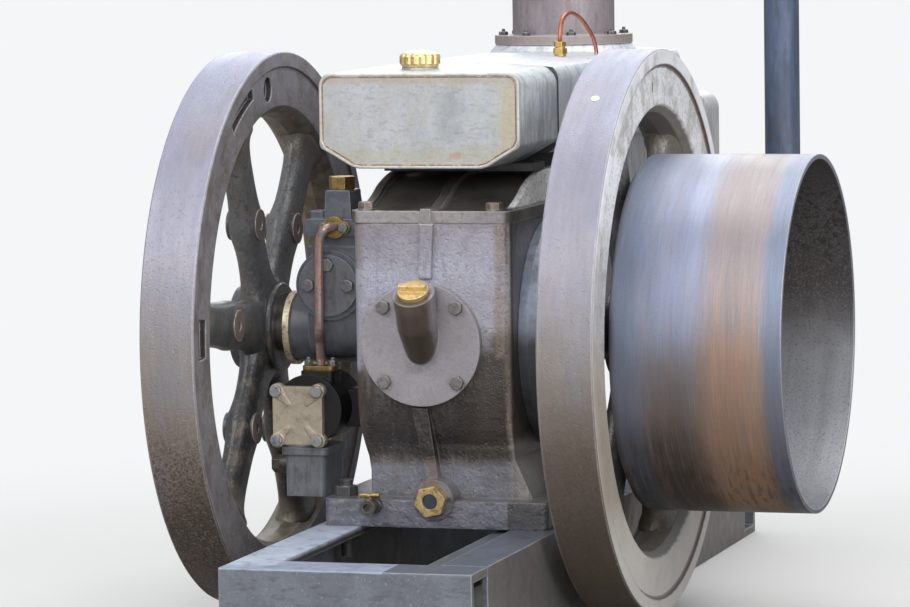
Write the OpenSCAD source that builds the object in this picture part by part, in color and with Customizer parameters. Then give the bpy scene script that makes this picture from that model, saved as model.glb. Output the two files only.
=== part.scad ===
/* [Flywheels] */
// Outer radius of each flywheel
flywheel_r = 375; // [330:5:400]
// Width of the rim along the crankshaft
rim_w = 74; // [60:1:90]
// Radial depth of the rim
rim_depth = 77; // [60:1:90]
// Distance between the inner faces of the two flywheels
flywheel_gap = 454; // [440:2:480]
// Radial width of the flat band that stands proud on each face
face_band = 20; // [12:1:30]
// Depth of the recessed web beside that band
face_recess = 4; // [2:0.5:6]
// Width of a spoke at the hub
spoke_w = 61; // [48:1:66]
// Width of a spoke at the rim
spoke_rim_w = 52; // [40:1:60]
// Thickness of a spoke along the crankshaft
spoke_t = 30; // [26:1:44]
// Radius of the hub
hub_r = 56; // [48:1:70]
// Length of the hub
hub_len = 58; // [50:1:66]
// How far the hub stands back from the rim's inner face
hub_set_back = 8; // [4:1:14]
// How far the spokes stand from the rim's middle, towards the engine
spoke_in = 4; // [0:1:8]
// Radius of the machined boss on each spoke
boss_r = 21; // [12:1:26]
// Height of the bosses over the spoke's outer side
boss_rise = 8; // [4:1:12]
// Height of the bosses over the spoke's inner side
boss_rise_in = 5; // [2:1:8]
// Distance of the bosses from the crank axis
boss_pitch_r = 158; // [130:1:190]
// Angle of the first spoke
spoke_phase = 54; // [0:1:59]

/* [Crankshaft] */
// Radius of the crankshaft
shaft_r = 32; // [26:0.5:38]
// Free length of shaft outside the left hub
stub_len = 10; // [4:1:60]
// Radial clearance of the shaft in its bearings
running_fit = 0.08; // [0.02:0.01:0.1]

/* [Belt pulley] */
// Outer radius of the pulley
pulley_r = 236; // [200:1:260]
// Width of the belt face
pulley_w = 217; // [180:1:240]
// Wall of the pulley rim
pulley_wall = 6; // [4:0.5:9]
// How far the pulley rim reaches into the flywheel face
pulley_tuck = 8; // [4:1:12]
// Thickness of the pulley web
pulley_web = 12; // [8:1:16]
// Radial clearance of the pulley web round the flywheel hub
pulley_spigot = 1; // [0.5:0.5:3]

/* [Frame] */
// Height of the frame channels
rail_h = 160; // [150:1:200]
// Flange width of the side rails
rail_flange = 60; // [50:1:70]
// Flange width of the front and rear beams
beam_flange = 70; // [60:1:80]
// Web thickness of the channels
channel_web = 8; // [6:0.5:10]
// Flange thickness of the channels
channel_flange_t = 11; // [8:0.5:14]
// Overall width of the frame
frame_w = 325; // [315:1:345]
// Reach of the frame in front of the crank axis
frame_front = 592; // [520:1:640]
// Reach of the frame behind the crank axis
frame_rear = 960; // [850:5:1050]
// Width of the ledge inside the right rail
ledge_w = 26; // [16:1:36]
// Thickness of that ledge
ledge_t = 8; // [5:0.5:12]

/* [Crankcase] */
// How far the base flange stands in from the frame's sides
base_in = 10.5; // [4:0.5:16]
// Height of the crank axis over the frame top
axis_over_frame = 241; // [235:1:260]
// Sideways shift of the frame from the middle of the flywheels
engine_shift = 41; // [30:1:45]
// Sideways place of the crankcase from the frame's middle
case_shift = -8; // [-14:1:0]
// Width of the crankcase
case_w = 216; // [200:1:224]
// Front face of the crankcase in front of the crank axis
case_front = 182; // [170:1:190]
// Back face of the crankcase behind the crank axis
case_back = 165; // [150:1:180]
// Height of the cover joint over the crank axis
joint_h = 156; // [148:1:160]
// Radius of the crankcase's left corners
case_left_r = 20; // [8:1:26]
// Radius of the crankcase's right corners
case_right_r = 14; // [8:1:20]
// How far the foot stands back under the rolled belly
foot_set_back = 9; // [6:1:12]
// How far the foot flares out on the right
foot_flare = 24; // [12:1:28]
// How much the belly draws in at the foot
belly_in = 20; // [8:1:28]
// Thickness of the base flange
base_t = 36; // [28:1:42]
// Reach of the base flange in front of the crank axis
base_front = 204; // [196:1:212]
// Reach of the base flange behind the crank axis
base_back = 190; // [180:1:210]

/* [Top cover] */
// Thickness of the cover flange
cover_flange_t = 16; // [12:0.5:20]
// Overhang of the cover flange
cover_lip = 2; // [1:0.5:5]
// Rise of the sloping hood over the cover flange
hood_rise = 44; // [38:1:50]
// Flat ledge in front of the hood's cheeks
cheek_ledge = 24; // [16:1:30]
// Length of the cheeks' slope
cheek_slope = 165; // [145:1:172]
// Flat ledge in front of the hood's middle
hood_ledge = 40; // [32:1:48]
// Length of the middle's slope
hood_slope = 149; // [130:1:156]
// Wall of the hood's side cheeks
cheek_w = 10; // [6:0.5:14]
// Width of the middle rib
rib_w = 14; // [10:1:18]

/* [Front cover] */
// Radius of the round cover
door_r = 81; // [70:1:85]
// Thickness of the round cover
door_t = 11; // [8:0.5:14]
// Sideways place of the round cover from the engine's middle
door_shift = -12; // [-16:1:4]
// Drop of the round cover below the crank axis
door_drop = 2; // [0:0.5:5]
// Radius of the oil filler spout at its mouth
spout_r = 27.5; // [24:0.5:30]
// Reach of the spout's mouth in front of the cover
spout_reach = 26; // [20:1:32]
// Height of the spout's mouth over the crank axis
spout_rise = 67; // [58:1:70]
// Tilt of the spout's mouth out of the upright
spout_tilt = 33; // [26:1:40]
// Radius of the filler cap
filler_cap_r = 20.5; // [17:0.5:23]

/* [Sight glass and drain cock] */
// Width over the flats of the sight glass nut
sight_af = 37; // [30:1:42]
// Radius of the glass
sight_glass_r = 10; // [7:0.5:12]
// Radius of the boss behind the nut
sight_boss_r = 27; // [25:0.5:32]
// Thickness of the sight glass nut
sight_nut_t = 18; // [12:1:20]
// Sideways place of the drain cock from the engine's middle
cock_shift = -82.5; // [-95:0.5:-75]
// Radius of the drain cock body
cock_r = 9; // [7:0.5:11]
// Length of the drain cock handle
cock_handle_len = 27; // [20:1:32]

/* [Bearing housing] */
// Radius of the bearing plate on the right
bearing_plate_r = 150; // [130:1:154]
// Radius of its nose
bearing_nose_r = 62; // [54:1:74]
// Reach of the housing beside the crankcase
bearing_reach = 66; // [56:1:68]

/* [Governor and pump] */
// Width of the governor housing
governor_w = 95; // [86:1:98]
// Front face of the governor housing in front of the crank axis
governor_front = 104; // [90:1:120]
// Back face of the governor housing behind the crank axis
governor_back = 62; // [50:1:80]
// Height of the governor housing's shelf over the crank axis
governor_shelf = 118; // [108:1:124]
// Height of the fuel gallery over that shelf
gallery_h = 23; // [18:1:26]
// Radius of the drum round the crankshaft
drum_r = 46; // [42:1:52]
// Radius of the governor inspection plate
governor_plate_r = 41; // [34:1:44]
// Width of the pump block
pump_w = 38; // [32:1:44]
// Height of the pump block
pump_h = 38; // [28:1:42]
// Radius of the fuel pipe
fuel_pipe_r = 6; // [4:0.5:7]

/* [Fuel filter] */
// Width of the filter cover plate
filter_plate_w = 77; // [70:1:82]
// Height of the filter cover plate
filter_plate_h = 86; // [78:1:92]
// Front face of the filter cover plate
filter_front = 128; // [120:1:140]
// Radius of the filter housing
filter_r = 46; // [38:1:48]
// Width of the filter bowl
bowl_w = 56; // [48:1:62]
// Height of the filter bowl
bowl_h = 70; // [60:1:76]

/* [Fuel tank] */
// Width of the tank
tank_w = 272; // [250:1:290]
// Height of the tank's front plate
tank_h = 124; // [110:1:128]
// Depth of the tank
tank_depth = 182; // [160:1:190]
// Height of the bearer plate under the tank
bearer_h = 11; // [6:0.5:14]
// Crown of the tank's top at the back
tank_crown = 7; // [3:0.5:10]
// Gap between the tank and the hopper
tank_gap = 2; // [1:0.5:4]
// Radius of the tank's filler cap
tank_cap_r = 25; // [20:0.5:30]

/* [Water hopper] */
// Sideways place of tank and hopper from the flywheels' middle
hopper_mid = 20; // [10:1:28]
// Front face of the hopper behind the crank axis
hopper_front = 3; // [0:1:10]
// Length of the hopper
hopper_len = 690; // [600:5:720]
// Height of the hopper's underside over the tank's
hopper_lift = 9; // [4:1:16]
// Outer radius of the steam pipe
chimney_r = 74; // [66:0.5:78]
// Wall of the steam pipe
chimney_wall = 4; // [3:0.5:6]
// Height of the steam pipe over its flange
chimney_h = 175; // [120:5:300]
// Radius of its flange
chimney_flange_r = 100; // [95:0.5:106]
// Thickness of its flange
chimney_flange_t = 13; // [10:0.5:16]
// Distance of the steam pipe behind the crank axis
chimney_y = 545; // [500:5:560]

/* [Cylinder and head] */
// How far the cylinder block stands in from the crankcase's sides
block_in = 10; // [6:1:18]
// Depth of the block's rounded underside below the axis
block_drop = 98; // [90:1:102]
// Length of the cylinder head
head_len = 118; // [100:1:130]
// How far the head stands out over the block on each side
head_out = 12; // [6:1:16]
// Height of the cylinder head
head_h = 300; // [270:5:310]
// Length of the rocker cover
rocker_len = 76; // [60:1:90]
// Width of the rocker cover
rocker_w = 270; // [240:5:290]
// Height of the rocker cover
rocker_h = 238; // [200:2:260]
// Radius of the air intake's drum
intake_r = 58; // [50:1:64]
// Height of the air intake's drum
intake_h = 130; // [110:5:150]
// Outer radius of the exhaust pipe
exhaust_r = 26; // [24:0.5:32]
// Wall of the exhaust pipe
exhaust_wall = 3; // [2:0.5:4]
// Distance of the exhaust pipe from the engine's middle
exhaust_out = 265; // [240:1:275]
// Top of the exhaust pipe over the crank axis
exhaust_top = 620; // [560:5:700]

/* [Hidden] */
$fn = 96;
hull_fn = 32;
eps = 0.02;
big = 2000;

// Heights over the crank axis, and places along and beside it
axis_h = rail_h + axis_over_frame;
frame_top = -axis_over_frame;
frame_x0 = engine_shift - frame_w / 2;
frame_x1 = engine_shift + frame_w / 2;
case_mid = engine_shift + case_shift;
case_x0 = case_mid - case_w / 2;
case_x1 = case_mid + case_w / 2;
base_w = frame_w - 2 * base_in;
block_w = case_w - 2 * block_in;
base_top = frame_top + base_t;
cover_top = joint_h + cover_flange_t;
hood_top = cover_top + hood_rise;
tank_z = hood_top + bearer_h;
hopper_z = tank_z + hopper_lift;
wheel_in = flywheel_gap / 2;
wheel_out = wheel_in + rim_w;
wheel_mid = wheel_in + rim_w / 2;
hub_in = wheel_in + hub_set_back;
hub_out = hub_in + hub_len;
web_r = flywheel_r - face_band;
rim_in_r = flywheel_r - rim_depth;
pulley_x0 = wheel_out - pulley_tuck;
pulley_x1 = pulley_x0 + pulley_w;
boss_out = wheel_mid - spoke_in + spoke_t / 2 + boss_rise;
pulley_web_x = boss_out + 0.2;
shaft_x1 = hub_out + stub_len;
shaft_x0 = -hub_out - stub_len;
door_x = case_mid + door_shift;
filter_x = case_x0 - 97;
filter_plate_z = -106;
bowl_top = filter_plate_z - filter_plate_h / 2;
gov_x0 = case_x0 - governor_w - 0.3;
gov_x1 = case_x0 - 0.3;
drum_gap = 9;
drum_x0 = -wheel_in + drum_gap;
tank_top = tank_z + tank_h;
tank_front = tank_depth + tank_gap - hopper_front;
hopper_top = tank_top + tank_crown;
hopper_back = hopper_front + hopper_len;
block_back = hopper_back;
head_back = block_back + head_len;
exhaust_x = case_mid + exhaust_out;
exhaust_y = block_back + head_len / 2;
exhaust_z = 96;

// The whole box stands on its own bottom centre
box_x0 = shaft_x0;
box_x1 = pulley_x1;
box_mid_x = (box_x0 + box_x1) / 2;
box_mid_y = (frame_rear - frame_front) / 2;

// Places everything that is drawn from the crank axis into the part's frame
module from_crank() {
    translate([-box_mid_x, -box_mid_y, axis_h]) children();
}

// Plate outline with round corners, as exact arcs
module round_rect(w, d, r) {
    square([w - 2 * r, d], center = true);
    square([w, d - 2 * r], center = true);
    for (sx = [-1, 1], sy = [-1, 1]) translate([sx * (w / 2 - r), sy * (d / 2 - r)]) circle(r);
}

// Bar of round_rect section, from z0 up
module round_block(w, d, h, r) {
    linear_extrude(h) round_rect(w, d, r);
}

// Cylinder along X, from x0 to x1
module x_cyl(r, x0, x1) {
    translate([x0, 0, 0]) rotate([0, 90, 0]) cylinder(r = r, h = x1 - x0);
}

// Cylinder along Y, towards the back
module y_cyl(r, y0, y1) {
    translate([0, y1, 0]) rotate([90, 0, 0]) cylinder(r = r, h = y1 - y0);
}

// Outline in the X-Z plane, swept along Y from y0 to y1
module y_sweep(y0, y1) {
    translate([0, y1, 0]) rotate([90, 0, 0]) linear_extrude(y1 - y0) children();
}

// Outline in the Y-Z plane, swept along X from x0 to x1
module x_sweep(x0, x1) {
    translate([x0, 0, 0]) rotate([90, 0, 90]) linear_extrude(x1 - x0) children();
}

// Smooth curve through hand-chosen points
function curve_at(p, i, t) =
    let (a = p[max(i - 1, 0)], b = p[i], c = p[i + 1], d = p[min(i + 2, len(p) - 1)])
    0.5 * (2 * b + (c - a) * t + (2 * a - 5 * b + 4 * c - d) * t * t + (3 * b - a - 3 * c + d) * t * t * t);
function curve(p, n) =
    concat([for (i = [0 : len(p) - 2], k = [0 : n - 1]) curve_at(p, i, k / n)], [p[len(p) - 1]]);
function unit(v) = v / norm(v);
function side_of(t, s) = unit(s - t * (s * t));
function carried(p, i, s) =
    let (t = unit(p[min(i + 1, len(p) - 1)] - p[max(i - 1, 0)])) side_of(t, s);
function sides(p, i, s) = i == len(p) ? [] :
    let (n = carried(p, i, s)) concat([n], sides(p, i + 1, n));

// Round tube along a curve, as one closed skin
module pipe(p, r, n = 12) {
    normals = sides(p, 0, unit(cross(p[1] - p[0], [0.31, 0.77, 0.55])));
    rings = [for (i = [0 : len(p) - 1])
        let (t = unit(p[min(i + 1, len(p) - 1)] - p[max(i - 1, 0)]), u = normals[i], v = cross(t, u))
        for (k = [0 : n - 1]) p[i] + r * (cos(360 * k / n) * u + sin(360 * k / n) * v)];
    skin = [for (i = [0 : len(p) - 2], k = [0 : n - 1])
        let (a = i * n + k, b = i * n + (k + 1) % n) each [[a, a + n, b], [b, a + n, b + n]]];
    last = (len(p) - 1) * n;
    polyhedron(rings, concat(skin, [[for (k = [0 : n - 1]) k]], [[for (k = [n - 1 : -1 : 0]) last + k]]));
}

// Frame channels
module channel_outline(flange) {
    difference() {
        square([flange, rail_h]);
        translate([channel_web, channel_flange_t]) square([flange, rail_h - 2 * channel_flange_t]);
    }
}

module rail(side) {
    color("#50535a") from_crank() difference() {
        translate([engine_shift, 0, -axis_h]) mirror([side > 0 ? 1 : 0, 0, 0])
            y_sweep(-frame_front + beam_flange + 0.3, frame_rear - beam_flange - 0.3)
                translate([-frame_w / 2, 0]) channel_outline(rail_flange);
        bolt_holes();
    }
}

module frame_rail_left() { rail(-1); }
module frame_rail_right() { rail(1); }

module beam(y, turn) {
    color("#50535a") from_crank() translate([engine_shift, y, -axis_h]) rotate([0, 0, turn])
        x_sweep(-frame_w / 2, frame_w / 2) channel_outline(beam_flange);
}

module front_cross_beam() { beam(-frame_front, 0); }
module rear_cross_beam() { beam(frame_rear, 180); }

module inner_ledge() {
    ledge_x1 = frame_x1 - rail_flange;
    color("#3c3f44") from_crank()
        translate([ledge_x1 - ledge_w, -frame_front + beam_flange, frame_top - ledge_t - 5])
            cube([ledge_w, frame_front - beam_flange - base_front + 60, ledge_t]);
}

// Holding-down bolts through the base flange and the middle of the rails' top flanges
bolt_r = 9;
nut_r = 16;
seat_deep = 0.5;
bolt_out = (frame_w - rail_flange) / 2;
bolt_front_left = -base_front + 36;
bolt_front_right = -50;
bolt_rear = base_back - 26;
bolt_places = [[engine_shift - bolt_out, bolt_front_left], [engine_shift + bolt_out, bolt_front_right],
    [engine_shift - bolt_out, bolt_rear], [engine_shift + bolt_out, bolt_rear]];

module bolt_holes() {
    for (p = bolt_places) translate([p[0], p[1], frame_top - 40]) cylinder(r = bolt_r, h = 100);
}

module bolt_seats() {
    for (p = bolt_places) translate([p[0], p[1], base_top - seat_deep]) cylinder(r = nut_r + 4, h = 60);
}

module holding_down_bolts() {
    nut_h = 13;
    stud_up = 8;
    stud_down = 34;
    color("#3f4146") from_crank() for (p = bolt_places) translate([p[0], p[1], 0]) {
        translate([0, 0, base_top - seat_deep + 0.1]) cylinder(r = nut_r, h = nut_h, $fn = 6);
        translate([0, 0, frame_top - channel_flange_t - stud_down])
            cylinder(r = bolt_r - 0.5, h = stud_down + channel_flange_t + base_t + nut_h + stud_up);
        translate([0, 0, frame_top - channel_flange_t - nut_h - 0.1])
            cylinder(r = nut_r, h = nut_h, $fn = 6);
    }
}

// Crankcase: a rolled belly over a foot that flares out on the right
foot_z = base_top - 1;
belly_z = -152;
belly_knee = -40;
belly_roll = 14;
rib_x = door_x + 8;
sight_x = engine_shift - 1;
sight_z = -204;
sight_out = 3;

module case_plan(x1, front, right_r) {
    depth = case_back + front;
    translate([case_x0, -front + case_left_r]) square([40, depth - 2 * case_left_r]);
    translate([case_x0 + case_left_r, -front]) square([x1 - case_x0 - case_left_r - right_r, depth]);
    translate([x1 - 40, -front + right_r]) square([40, depth - 2 * right_r]);
    for (y = [-front + case_left_r, case_back - case_left_r])
        translate([case_x0 + case_left_r, y]) circle(case_left_r);
    for (y = [-front + right_r, case_back - right_r])
        translate([x1 - right_r, y]) circle(right_r);
}

module belly_outline() {
    knee = -20;
    bend = [for (i = [0 : 6]) let (t = i / 6)
        [case_x0 + belly_in * (1 - t) * (1 - t), foot_z + 36 + (knee - foot_z - 36) * t]];
    polygon(concat([[case_x1, joint_h], [case_x1, foot_z], [case_x0 + belly_in, foot_z]], bend,
        [[case_x0, joint_h]]));
}

module belly_side() {
    roll = [for (i = [0 : 6]) let (t = i / 6)
        [-case_front + belly_roll * pow(t, 2.6), belly_knee + (belly_z - belly_knee) * t]];
    polygon(concat([[case_back + 1, joint_h + 1], [-case_front, joint_h + 1]], roll,
        [[case_back + 1, belly_z]]));
}

module foot_outline() {
    left = case_x0 + belly_in;
    waist = case_x0 + belly_in * 0.6;
    top = -90;
    polygon([[left, foot_z], [left, foot_z + 36], [waist, -118], [waist, top], [case_x1 - 2, top],
        [case_x1, belly_z], [case_x1 + foot_flare * 0.38, belly_z - 20], [case_x1 + foot_flare, foot_z]]);
}

module crankcase() {
    rib_foot = -door_drop + door_r + 5;
    rib_top = -door_drop - door_r - 3;
    color("#6b6669") from_crank() difference() {
        union() {
            intersection() {
                y_sweep(-case_front - 1, case_back) belly_outline();
                x_sweep(case_x0 - 1, case_x1 + 1) belly_side();
                translate([0, 0, belly_z - 10]) linear_extrude(joint_h - belly_z + 10)
                    case_plan(case_x1, case_front, case_right_r);
            }
            intersection() {
                y_sweep(-case_front, case_back) foot_outline();
                translate([0, 0, foot_z - 1]) linear_extrude(200)
                    case_plan(case_x1 + foot_flare, case_front - foot_set_back, 10);
            }
            translate([engine_shift, (base_back - base_front) / 2, frame_top])
                round_block(base_w, base_front + base_back, base_t, 8);
            translate([sight_x, 0, sight_z])
                y_cyl(sight_boss_r, -base_front - sight_out, -base_front + 34);
            translate([rib_x, 0, 0]) y_sweep(-case_front - 5, -case_front + 5)
                polygon([[-rib_w * 0.8, rib_foot], [rib_w * 0.4, rib_foot], [rib_w * 0.7, joint_h],
                    [-rib_w * 0.65, joint_h]]);
            y_sweep(-case_front - 6, -case_front + 20) polygon([[sight_x - rib_w * 0.7, foot_z],
                [sight_x + rib_w * 0.4, foot_z], [rib_x - rib_w * 0.1, rib_top],
                [rib_x - rib_w * 1.6, rib_top]]);
        }
        x_cyl(shaft_r + running_fit, case_x0 - 1, case_x1 + 1);
        bolt_holes();
        bolt_seats();
    }
}
// Top cover: a sloping hood between two higher cheeks, all with the same ogee
ogee = [[0, 0], [0.07, 0.03], [0.145, 0.11], [0.345, 0.36],
    [0.5, 0.62], [0.7, 0.83], [0.87, 0.95], [1, 1]];

module hood_side(ledge, slope, rise) {
    front = -case_front - cover_lip + ledge;
    rising = [for (p = curve(ogee, 3)) [front + slope * p[0], cover_top + rise * p[1]]];
    polygon(concat([[front, cover_top - 1]], rising,
        [[case_back, cover_top + rise], [case_back, cover_top - 1]]));
}

module crankcase_top_cover() {
    left = case_x0 + 5;
    right = case_x1 - 3;
    rib_left = rib_x - rib_w / 2;
    lower = 7;
    color("#5d5a5c") from_crank() {
        translate([0, 0, joint_h]) linear_extrude(cover_flange_t) intersection() {
            flange_plan();
            translate([case_x0 - 20, -case_front - 20]) square([case_w + 40, case_front + case_back + 20]);
        }
        x_sweep(left, right) hood_side(hood_ledge, hood_slope, hood_rise - lower);
        x_sweep(right - cheek_w, right) hood_side(cheek_ledge, cheek_slope, hood_rise);
        x_sweep(left, left + cheek_w) hood_side(cheek_ledge - 3, cheek_slope, hood_rise);
        x_sweep(rib_left, rib_left + rib_w) hood_side(hood_ledge - 8, hood_slope, hood_rise - 3);
        x_sweep(rib_left, rib_left + rib_w) translate([-case_front - cover_lip - 4, joint_h])
            square([hood_ledge, cover_flange_t + 3]);
    }
}

module flange_plan() {
    r = case_left_r + cover_lip;
    depth = case_front + case_back + 2 * cover_lip;
    translate([case_mid, (case_back - case_front) / 2]) round_rect(case_w + 2 * cover_lip, depth, r - 4);
}

// Round cover with the slanting oil filler spout
door_face = -case_front - 0.3 - door_t;

module spout_mouth() {
    translate([door_x, door_face - spout_reach, spout_rise]) rotate([spout_tilt, 0, 0]) children();
}

module round_front_cover() {
    throat = filler_cap_r - 4;
    color("#67646a") from_crank() difference() {
        union() {
            translate([door_x, 0, -door_drop]) y_cyl(door_r, door_face, -case_front - 0.3);
            intersection() {
                hull() {
                    spout_mouth() translate([0, 0, -5]) cylinder(r = spout_r, h = 5, $fn = hull_fn);
                    translate([door_x, door_face - 12, 25]) sphere(spout_r - 1, $fn = hull_fn);
                    translate([door_x, door_face + 8, -8]) sphere(spout_r * 0.8, $fn = hull_fn);
                }
                translate([door_x - 50, door_face - 120, -60]) cube([100, 120 + door_t - 1, 200]);
            }
        }
        spout_mouth() translate([0, 0, -14]) cylinder(r = throat, h = 20);
    }
}

module oil_filler_cap() {
    bar_w = 8;
    color("#c8a04a") from_crank() spout_mouth() translate([0, 0, 0.2]) {
        cylinder(r = filler_cap_r, h = 6);
        translate([-filler_cap_r + 2, -bar_w / 2, 5]) cube([2 * filler_cap_r - 4, bar_w, 9]);
    }
}

sight_face = -base_front - sight_out;

module sight_glass_nut() {
    color("#c8a04a") from_crank() translate([sight_x, sight_face - 0.2, sight_z]) rotate([90, 0, 0])
        difference() {
            rotate([0, 0, 12]) cylinder(r = sight_af / 2 / cos(30), h = sight_nut_t, $fn = 6);
            translate([0, 0, 3]) cylinder(r = sight_glass_r + 0.2, h = sight_nut_t);
        }
}

module sight_glass() {
    color("#2b3338") from_crank() translate([sight_x, sight_face - 3.4, sight_z]) rotate([90, 0, 0])
        cylinder(r = sight_glass_r, h = sight_nut_t - 7);
}

cock_x = engine_shift + cock_shift;
cock_z = -212;
cock_out = 34;
cock_y = -base_front - 0.2;
cock_stem_y = cock_y - cock_out + 13;
cock_stem_r = 4;
cock_neck = 11;

module drain_cock() {
    color("#6d6a60") from_crank() difference() {
        union() {
            translate([cock_x, cock_y, cock_z]) rotate([90, 0, 0]) {
                cylinder(r = cock_r + 3, h = 8, $fn = 6);
                cylinder(r = cock_r, h = cock_out);
                translate([0, 0, cock_out - 5]) cylinder(r = cock_r + 1.5, h = 5);
            }
            translate([cock_x, cock_stem_y, cock_z]) cylinder(r = cock_r - 1.5, h = cock_neck);
        }
        translate([cock_x, cock_stem_y, cock_z + 2])
            cylinder(r = cock_stem_r + running_fit, h = cock_neck);
        translate([cock_x, cock_y - cock_out + 7, cock_z]) rotate([90, 0, 0])
            cylinder(r = cock_r - 3.5, h = 10);
    }
}

module drain_cock_handle() {
    bar_r = 3.4;
    bar_z = cock_z + 15;
    color("#c8a04a") from_crank() translate([cock_x, cock_stem_y, 0]) {
        translate([0, 0, cock_z + 2.3]) cylinder(r = cock_stem_r, h = bar_z - cock_z - 2.3);
        translate([0, 0, bar_z]) x_cyl(bar_r, -cock_handle_len / 2, cock_handle_len / 2);
    }
}

// Right main bearing housing
module bearing_housing() {
    plate_t = 34;
    color("#7b8088") from_crank() difference() {
        translate([case_x1 + 0.3, 0, 0]) rotate([0, 90, 0]) rotate_extrude() polygon([[0, 0],
            [bearing_plate_r, 0], [bearing_plate_r, plate_t * 0.35], [bearing_plate_r - 4, plate_t * 0.65],
            [bearing_plate_r - 12, plate_t * 0.88], [bearing_plate_r - 28, plate_t],
            [bearing_nose_r + 30, plate_t + 4], [bearing_nose_r, bearing_reach - 12],
            [bearing_nose_r, bearing_reach - 3], [bearing_nose_r - 3, bearing_reach], [0, bearing_reach]]);
        x_cyl(shaft_r + running_fit, case_x1 - 1, case_x1 + bearing_reach + 5);
    }
}

// Governor housing on the left of the crankcase, round the crankshaft
plate_x = gov_x0 + 39;
plate_z = 67;
governor_top = joint_h - 1;
gallery_front = governor_front - 4;

module governor_side() {
    roll_r = 46;
    foot = -36;
    front = -governor_front + 8;
    polygon([[front, governor_shelf], [front, foot + roll_r], [front + roll_r, foot + roll_r],
        [front + roll_r, foot], [governor_back, foot], [governor_back, governor_shelf]]);
    translate([front + roll_r, foot + roll_r]) circle(roll_r);
}

module governor_housing() {
    gallery_x0 = gov_x0 + 5;
    gallery_mid = (gallery_x0 + gov_x1) / 2;
    gallery_z = governor_top - gallery_h / 2;
    neck_h = governor_top - governor_shelf - 1;
    color("#4c5056") from_crank() difference() {
        union() {
            x_sweep(gov_x0 + 5, gov_x1) governor_side();
            translate([plate_x, 0, plate_z])
                y_cyl(governor_plate_r + 6, -governor_front, -governor_front + 40);
            translate([gallery_mid + 6, (30 - gallery_front) / 2 + 4, governor_shelf - 1])
                round_block(gov_x1 - gallery_x0 - 14, gallery_front + 22, neck_h, 6);
            translate([gallery_mid, 0, gallery_z]) y_sweep(-gallery_front, -gallery_front + 46)
                round_rect(gov_x1 - gallery_x0, gallery_h, 4);
            translate([0, -gallery_front + 20, gallery_z]) x_cyl(6, gallery_x0 - 4, gallery_x0 + 10);
            translate([gallery_x0 + 14, -gallery_front + 22, governor_top - 1])
                round_block(20, 30, 11, 3);
            x_cyl(drum_r, drum_x0 + 9, gov_x1 - 20);
        }
        x_cyl(shaft_r + running_fit, drum_x0 - 1, gov_x1 + 1);
    }
}

module governor_end_flange() {
    color("#9a7d45") from_crank() difference() {
        x_cyl(drum_r + 4, drum_x0, drum_x0 + 8.8);
        x_cyl(shaft_r + running_fit, drum_x0 - 1, drum_x0 + 10);
    }
}

module governor_plate() {
    color("#565a60") from_crank() translate([plate_x, 0, plate_z])
        y_cyl(governor_plate_r, -governor_front - 6.2, -governor_front - 0.2);
}

pump_in = 25;
pump_x = gov_x1 - pump_w / 2 - pump_in;
pump_front = gallery_front;
pump_taper = 2;
pump_depth = 48;

module pump_block() {
    half = pump_w / 2;
    top = half - pump_taper;
    color("#4f5359") from_crank() translate([pump_x, 0, governor_top + 0.2])
        y_sweep(-pump_front, -pump_front + pump_depth)
            polygon([[-half, 0], [half, 0], [top, pump_h - 2], [top - 2, pump_h],
                [-top + 2, pump_h], [-top, pump_h - 2]]);
}

module pump_plug() {
    plug_r = 18;
    plug_h = 17;
    color("#b99348") from_crank() translate([pump_x - 2, -pump_front + 26, governor_top + pump_h + 0.4])
        cylinder(r = plug_r, h = plug_h, $fn = 6);
}

flange_x = pump_x - 3.5;
flange_z = governor_top - gallery_h / 2 + 0.5;
flange_t = 6;
flange_lobe = 13.5;

module pipe_flange() {
    color("#b08f4a") from_crank() translate([flange_x, -gallery_front - 0.2, flange_z]) rotate([90, 0, 0])
        linear_extrude(flange_t) {
            circle(14.5);
            for (s = [-1, 1]) translate([s * flange_lobe, 0]) circle(8);
            square([2 * flange_lobe, 15], center = true);
        }
}

inlet_x = filter_x + 22;
inlet_y = -filter_front + 38;
inlet_z = filter_plate_z + filter_r + 12;

module fuel_pipe() {
    start = -gallery_front - flange_t - 0.6;
    down_x = flange_x - 17.5;
    down_y = -governor_front - 15;
    top_z = flange_z + 1;
    end_z = inlet_z + flange_t + 0.6;
    route = [[flange_x, start, top_z], [flange_x, start - 2, top_z], [flange_x, start - 4, top_z],
        [flange_x - 8, down_y, top_z - 2], [down_x + 2, down_y, top_z - 14], [down_x, down_y, top_z - 34],
        [down_x - 1, down_y, 60], [down_x - 2, down_y + 1, 12], [inlet_x + 2, inlet_y - 10, -8],
        [inlet_x, inlet_y, end_z + 10], [inlet_x, inlet_y, end_z + 5], [inlet_x, inlet_y, end_z]];
    color("#a86a50") from_crank() pipe(curve(route, 5), fuel_pipe_r);
}

// Fuel filter below the governor
filter_body_z = filter_plate_z + 8;
filter_cover_t = 11;

module filter_housing() {
    arm_x = filter_x + 10;
    arm_w = 44;
    arm_h = 50;
    body_shift = 12;
    inlet_h = 34;
    color("#404348") from_crank() {
        translate([filter_x + body_shift, 0, filter_body_z])
            y_cyl(filter_r, -filter_front + filter_cover_t + 1, -20);
        translate([inlet_x, inlet_y, inlet_z - inlet_h]) round_block(46, 40, inlet_h, 6);
        translate([arm_x, -70, filter_body_z - 28]) cube([case_x0 - 0.3 - arm_x, arm_w, arm_h]);
    }
}

module filter_inlet_flange() {
    color("#b08f4a") from_crank() translate([inlet_x, inlet_y, inlet_z + 0.2])
        round_block(47, 26, flange_t, 8);
}

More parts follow.
